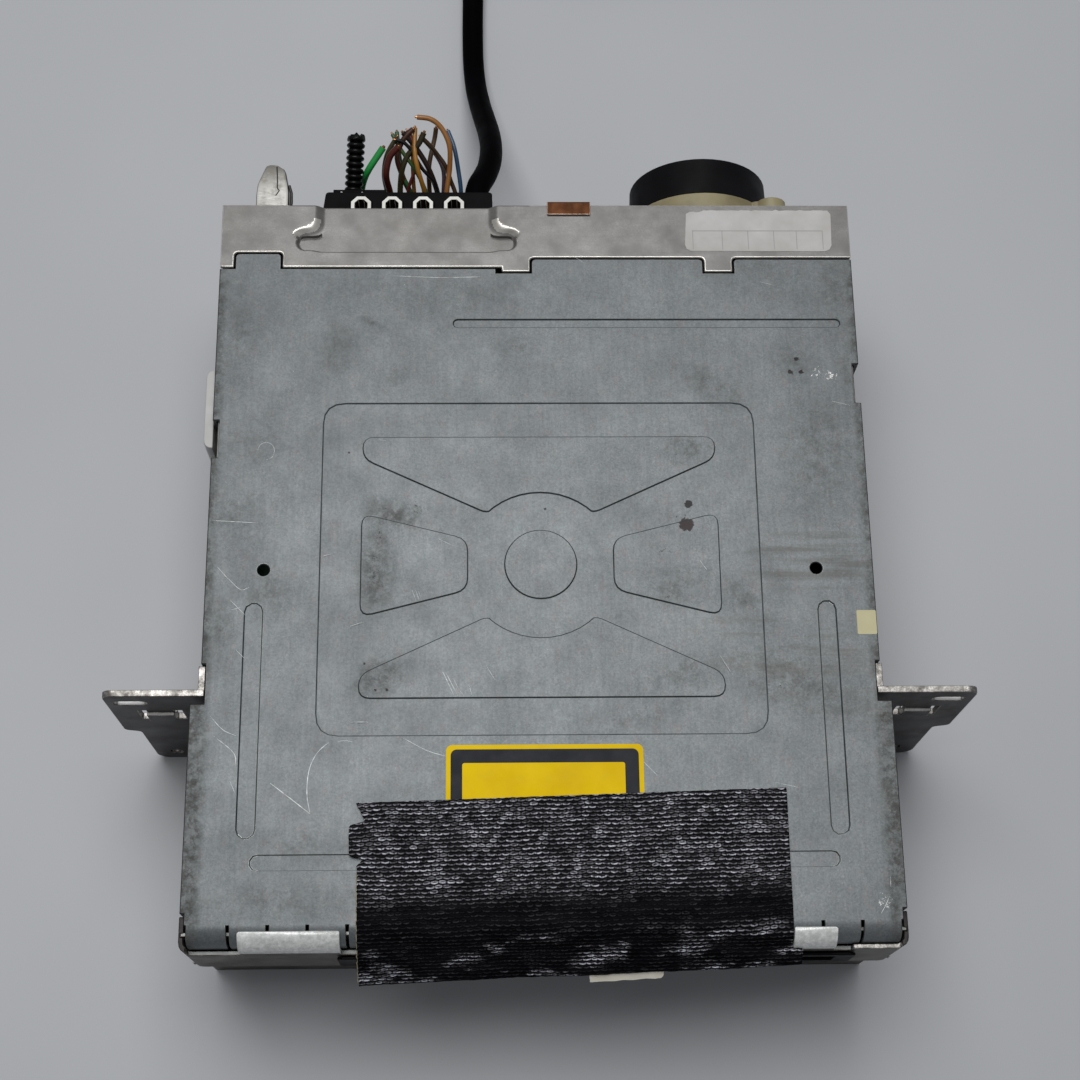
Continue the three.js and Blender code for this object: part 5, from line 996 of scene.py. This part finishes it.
# Stickers: thin films on the sheet metal, blank
def film(name, outline, z, thick, finish, hole=None):
    """A flat film with its outline, and at most one hole, in millimetres."""
    made = bmesh.new()
    outer = [made.verts.new((x * MM, y * MM, z * MM)) for x, y in outline]
    edges = [made.edges.new((a, b)) for a, b in zip(outer, outer[1:] + outer[:1])]
    if hole:
        inner = [made.verts.new((x * MM, y * MM, z * MM)) for x, y in hole]
        edges += [made.edges.new((a, b)) for a, b in zip(inner, inner[1:] + inner[:1])]
    bmesh.ops.triangle_fill(made, use_beauty=True, edges=edges, normal=(0, 0, 1))
    outward(made)
    thicken(made, list(made.faces), thick)
    return link(name, finished(name, made), finish)


def rounded(x0, x1, y0, y1, radius, steps=6):
    points = []
    for cx, cy, start in ((x1 - radius, y1 - radius, 0), (x0 + radius, y1 - radius, 1),
                          (x0 + radius, y0 + radius, 2), (x1 - radius, y0 + radius, 3)):
        for k in range(steps + 1):
            a = pi / 2 * (start + k / steps)
            points.append((cx + radius * cos(a), cy + radius * sin(a)))
    return points


ON_LID, ON_PAPER, ON_FILM = LID_TOP + 0.01, LID_TOP + 0.09, LID_TOP + 0.11
film("sticker_yellow", rounded(-25.2, 26.0, -75, -49.6, 1.6), ON_LID, 0.1, "yellow_film")
film("sticker_yellow_frame", rounded(-24.0, 24.8, -74, -50.8, 1.6), ON_FILM, 0.02, "dark_ink",
     rounded(-21.0, 21.2, -71, -54.4, 0.6))
torn_top = [(83.6 - 39.6 * k / 40, 107.0 + 0.35 * noise(Vector((k * 0.7, 9, 0))) - (0.5 if k > 36 else 0))
            for k in range(41)]
film("sticker_grid", [(42.3, 96), (42.7, 94.7), (43.9, 94), (82.3, 93.9), (83.6, 94.5), (84.2, 95.8), (84.5, 105.8),
                      *torn_top, (42.9, 105.9)], ON_LID, 0.08, "white_paper")
for k, (x0, x1, y0, y1) in enumerate([(44.4, 81.9, 100.3, 100.5)] + [
        (x - 0.08, x + 0.08, 94.5, 100.35) for x in (44.6, 53.0, 60.4, 67.8, 74.3, 81.8)]):
    film(f"sticker_grid_line_{k}", [(x0, y0), (x1, y0), (x1, y1), (x0, y1)], ON_PAPER, 0.015, "pale_ink")
film("sticker_cream", rounded(84.1, 89.3, -20.1, -13.4, 0.4), ON_LID, 0.08, "cream_paper")
SLIP_PLACE = (0, -100.09, 67.2)  # where the slip's own origin lies on the flap
slip = film("paper_slip", [
    (11.6, -13.2), (15.4, -12.9), (18, -12.9), (20.2, -12.5), (22.6, -12.6), (25.8, -12.1), (28.2, -12.2),
    (29.9, -11.9), (30.4, -11), (30.2, -7), (11, -7.2),
], 0, 0.25, "slip_paper")
slip.data.transform(Matrix.Translation(Vector(SLIP_PLACE) * MM) @ Matrix.Rotation(FLAP_SLOPE, 4, "X"))

# Scratches in the lid's plating: half width, then places
scratches = [
    (0.075, [(-70.4, -59.3), (-65.4, -63.1), (-59.9, -67.4)]),
    (0.07, [(-59.9, -67.4), (-60.8, -62.7), (-60.7, -57.5), (-60, -54.4), (-58.3, -51.2), (-55.5, -48.6)]),
    (0.05, [(-53.4, -48.6), (-51.6, -48.2), (-49.3, -48.6)]), (0.04, [(-50.4, -43.3), (-45.5, -43.3)]),
    (0.045, [(-36.4, -47.6), (-29.9, -51.1), (-25.4, -52.5)]),
    (0.05, [(-86.5, -41.5), (-83, -45.2), (-79.6, -46.8)]),
    (0.05, [(-85.3, -46.8), (-79.7, -51.9), (-79.5, -55.3)]), (0.04, [(-80.7, -58.7), (-79.3, -61.8)]),
    (0.07, [(-26.1, -29.9), (-23.2, -36.2)]), (0.06, [(-25.3, -30.1), (-22.2, -36.4)]),
    (0.05, [(-21.9, -34.6), (-20.5, -36.5)]), (0.04, [(-23.4, -31.6), (-21.9, -34.6)]),
    (0.04, [(-14.8, -28.1), (-12.4, -32.2)]), (0.035, [(-40.1, 86.1), (-27.4, 85.6), (-16.1, 85.8)]),
    (0.045, [(-88.2, 12.7), (-76.6, 12)]), (0.045, [(25.6, -53.9), (29.4, -57.9)]),
    (0.04, [(-82.6, -9.8), (-78.5, -14)]), (0.035, [(-80.5, -23.6), (-77.8, -26.4)]),
    (0.06, [(42.8, 0.9), (44.6, -1.9)]), (0.04, [(-50.7, -17.2), (-47.3, -16.1)]),
    (0.035, [(-44.1, 36.2), (-41.9, 35.8)]), (0.03, [(-19.3, -33.2), (-18.4, -36.4)]),
    (0.04, [(-86.5, -0.4), (-83, -4.2), (-79.6, -7), (-77.7, -6.2)]), (0.05, [(-82.4, -12.6), (-79.8, -11.9)]),
    (0.045, [(-81, -12.3), (-80.4, -13.7)]),
    (0.03, [(-76.9, 32.8), (-76.3, 34.6), (-74.6, 35.4), (-72.9, 34.6), (-72.3, 32.8), (-72.9, 31), (-74.4, 30.3)]),
    (0.035, [(-58.6, 2.4), (-56.2, 3.1)]), (0.03, [(-34.4, -7.2), (-33.3, -10.3)]),
    (0.03, [(-33.6, -6.9), (-32.5, -10)]), (0.025, [(-32.8, -7.2), (-32, -9.7)]),
    (0.03, [(-27.5, 7.3), (-23.5, 5.2)]), (0.045, [(87.8, -89.2), (86.6, -91.6), (85.1, -94.1)]),
    (0.05, [(88.2, -84.6), (88.1, -87.2)]), (0.03, [(46.9, -25.4), (50.2, -31.1)]),
    (0.03, [(62.5, 84.4), (66.9, 83.2)]), (0.03, [(81, 47.5), (86.4, 46.1)]), (0.03, [(60, -60), (66, -61.4)]),
    (0.03, [(10.2, 92.6), (13.4, 90.1)]),
]
for k, (half, points) in enumerate(scratches):
    line = smooth_line([(x, y, LID_TOP + 0.02) for x, y in points], 0.8)
    made = bmesh.new()
    rows = []
    for i, p in enumerate(line):
        way = (line[min(i + 1, len(line) - 1)] - line[max(i - 1, 0)]).normalized()
        thin = min(1, 0.25 + 0.4 * min(i, len(line) - 1 - i)) * max(0.15, 1 + 1.3 * noise(p * 1.3))
        side = Vector((-way.y, way.x, 0)) * half * thin
        rows.append((made.verts.new((p + side) * MM), made.verts.new((p - side) * MM)))
    for a, b in zip(rows, rows[1:]):
        made.faces.new((a[0], a[1], b[1], b[0]))
    outward(made)
    link(f"scratch_{k}", finished(f"scratch_{k}", made), "scratch_metal")


# Floor, world and lamps. A lamp has a place, a size in metres and a power in watts.
FLOOR_HALF, SKY_COLOR, SKY_STRENGTH = 12, (0.93, 0.96, 1, 1), 0.2
LAMPS = {"lamp_top": ((-0.1, 0.33, 1.42), 0.95, 14.3), "lamp_front": ((0.7, -0.9, 1.2), 1.2, 0.15)}


def studio():
    floor_mesh = bpy.data.meshes.new("floor")
    corners = [(FLOOR_HALF * x, FLOOR_HALF * y, 0) for x, y in ((-1, -1), (1, -1), (1, 1), (-1, 1))]
    floor_mesh.from_pydata(corners, [], [(0, 1, 2, 3)])
    floor = bpy.data.objects.new("floor", floor_mesh)
    show(floor)
    paint = Finish("floor_paint", "b6b8bb", 0.5)
    paint.color(paint.mix(paint.ramp(paint.noise(220, 3), 0.3, 0.7), "babcbf", "b1b3b7"))
    floor_mesh.materials.append(paint.material)
    world = bpy.data.worlds.new("world")
    world.use_nodes = True
    sky = world.node_tree.nodes["Background"]
    sky.inputs["Color"].default_value = SKY_COLOR
    sky.inputs["Strength"].default_value = SKY_STRENGTH
    bpy.context.scene.world = world
    for name, (place, size, power) in LAMPS.items():
        data = bpy.data.lights.new(name, "AREA")
        data.size = size
        data.energy = power
        lamp = bpy.data.objects.new(name, data)
        show(lamp)
        lamp.location = place
        lamp.rotation_euler = (Vector((0, 0, 0)) - Vector(place)).to_track_quat("-Z", "Y").to_euler()


studio()
bpy.context.scene.view_settings.view_transform = "Standard"
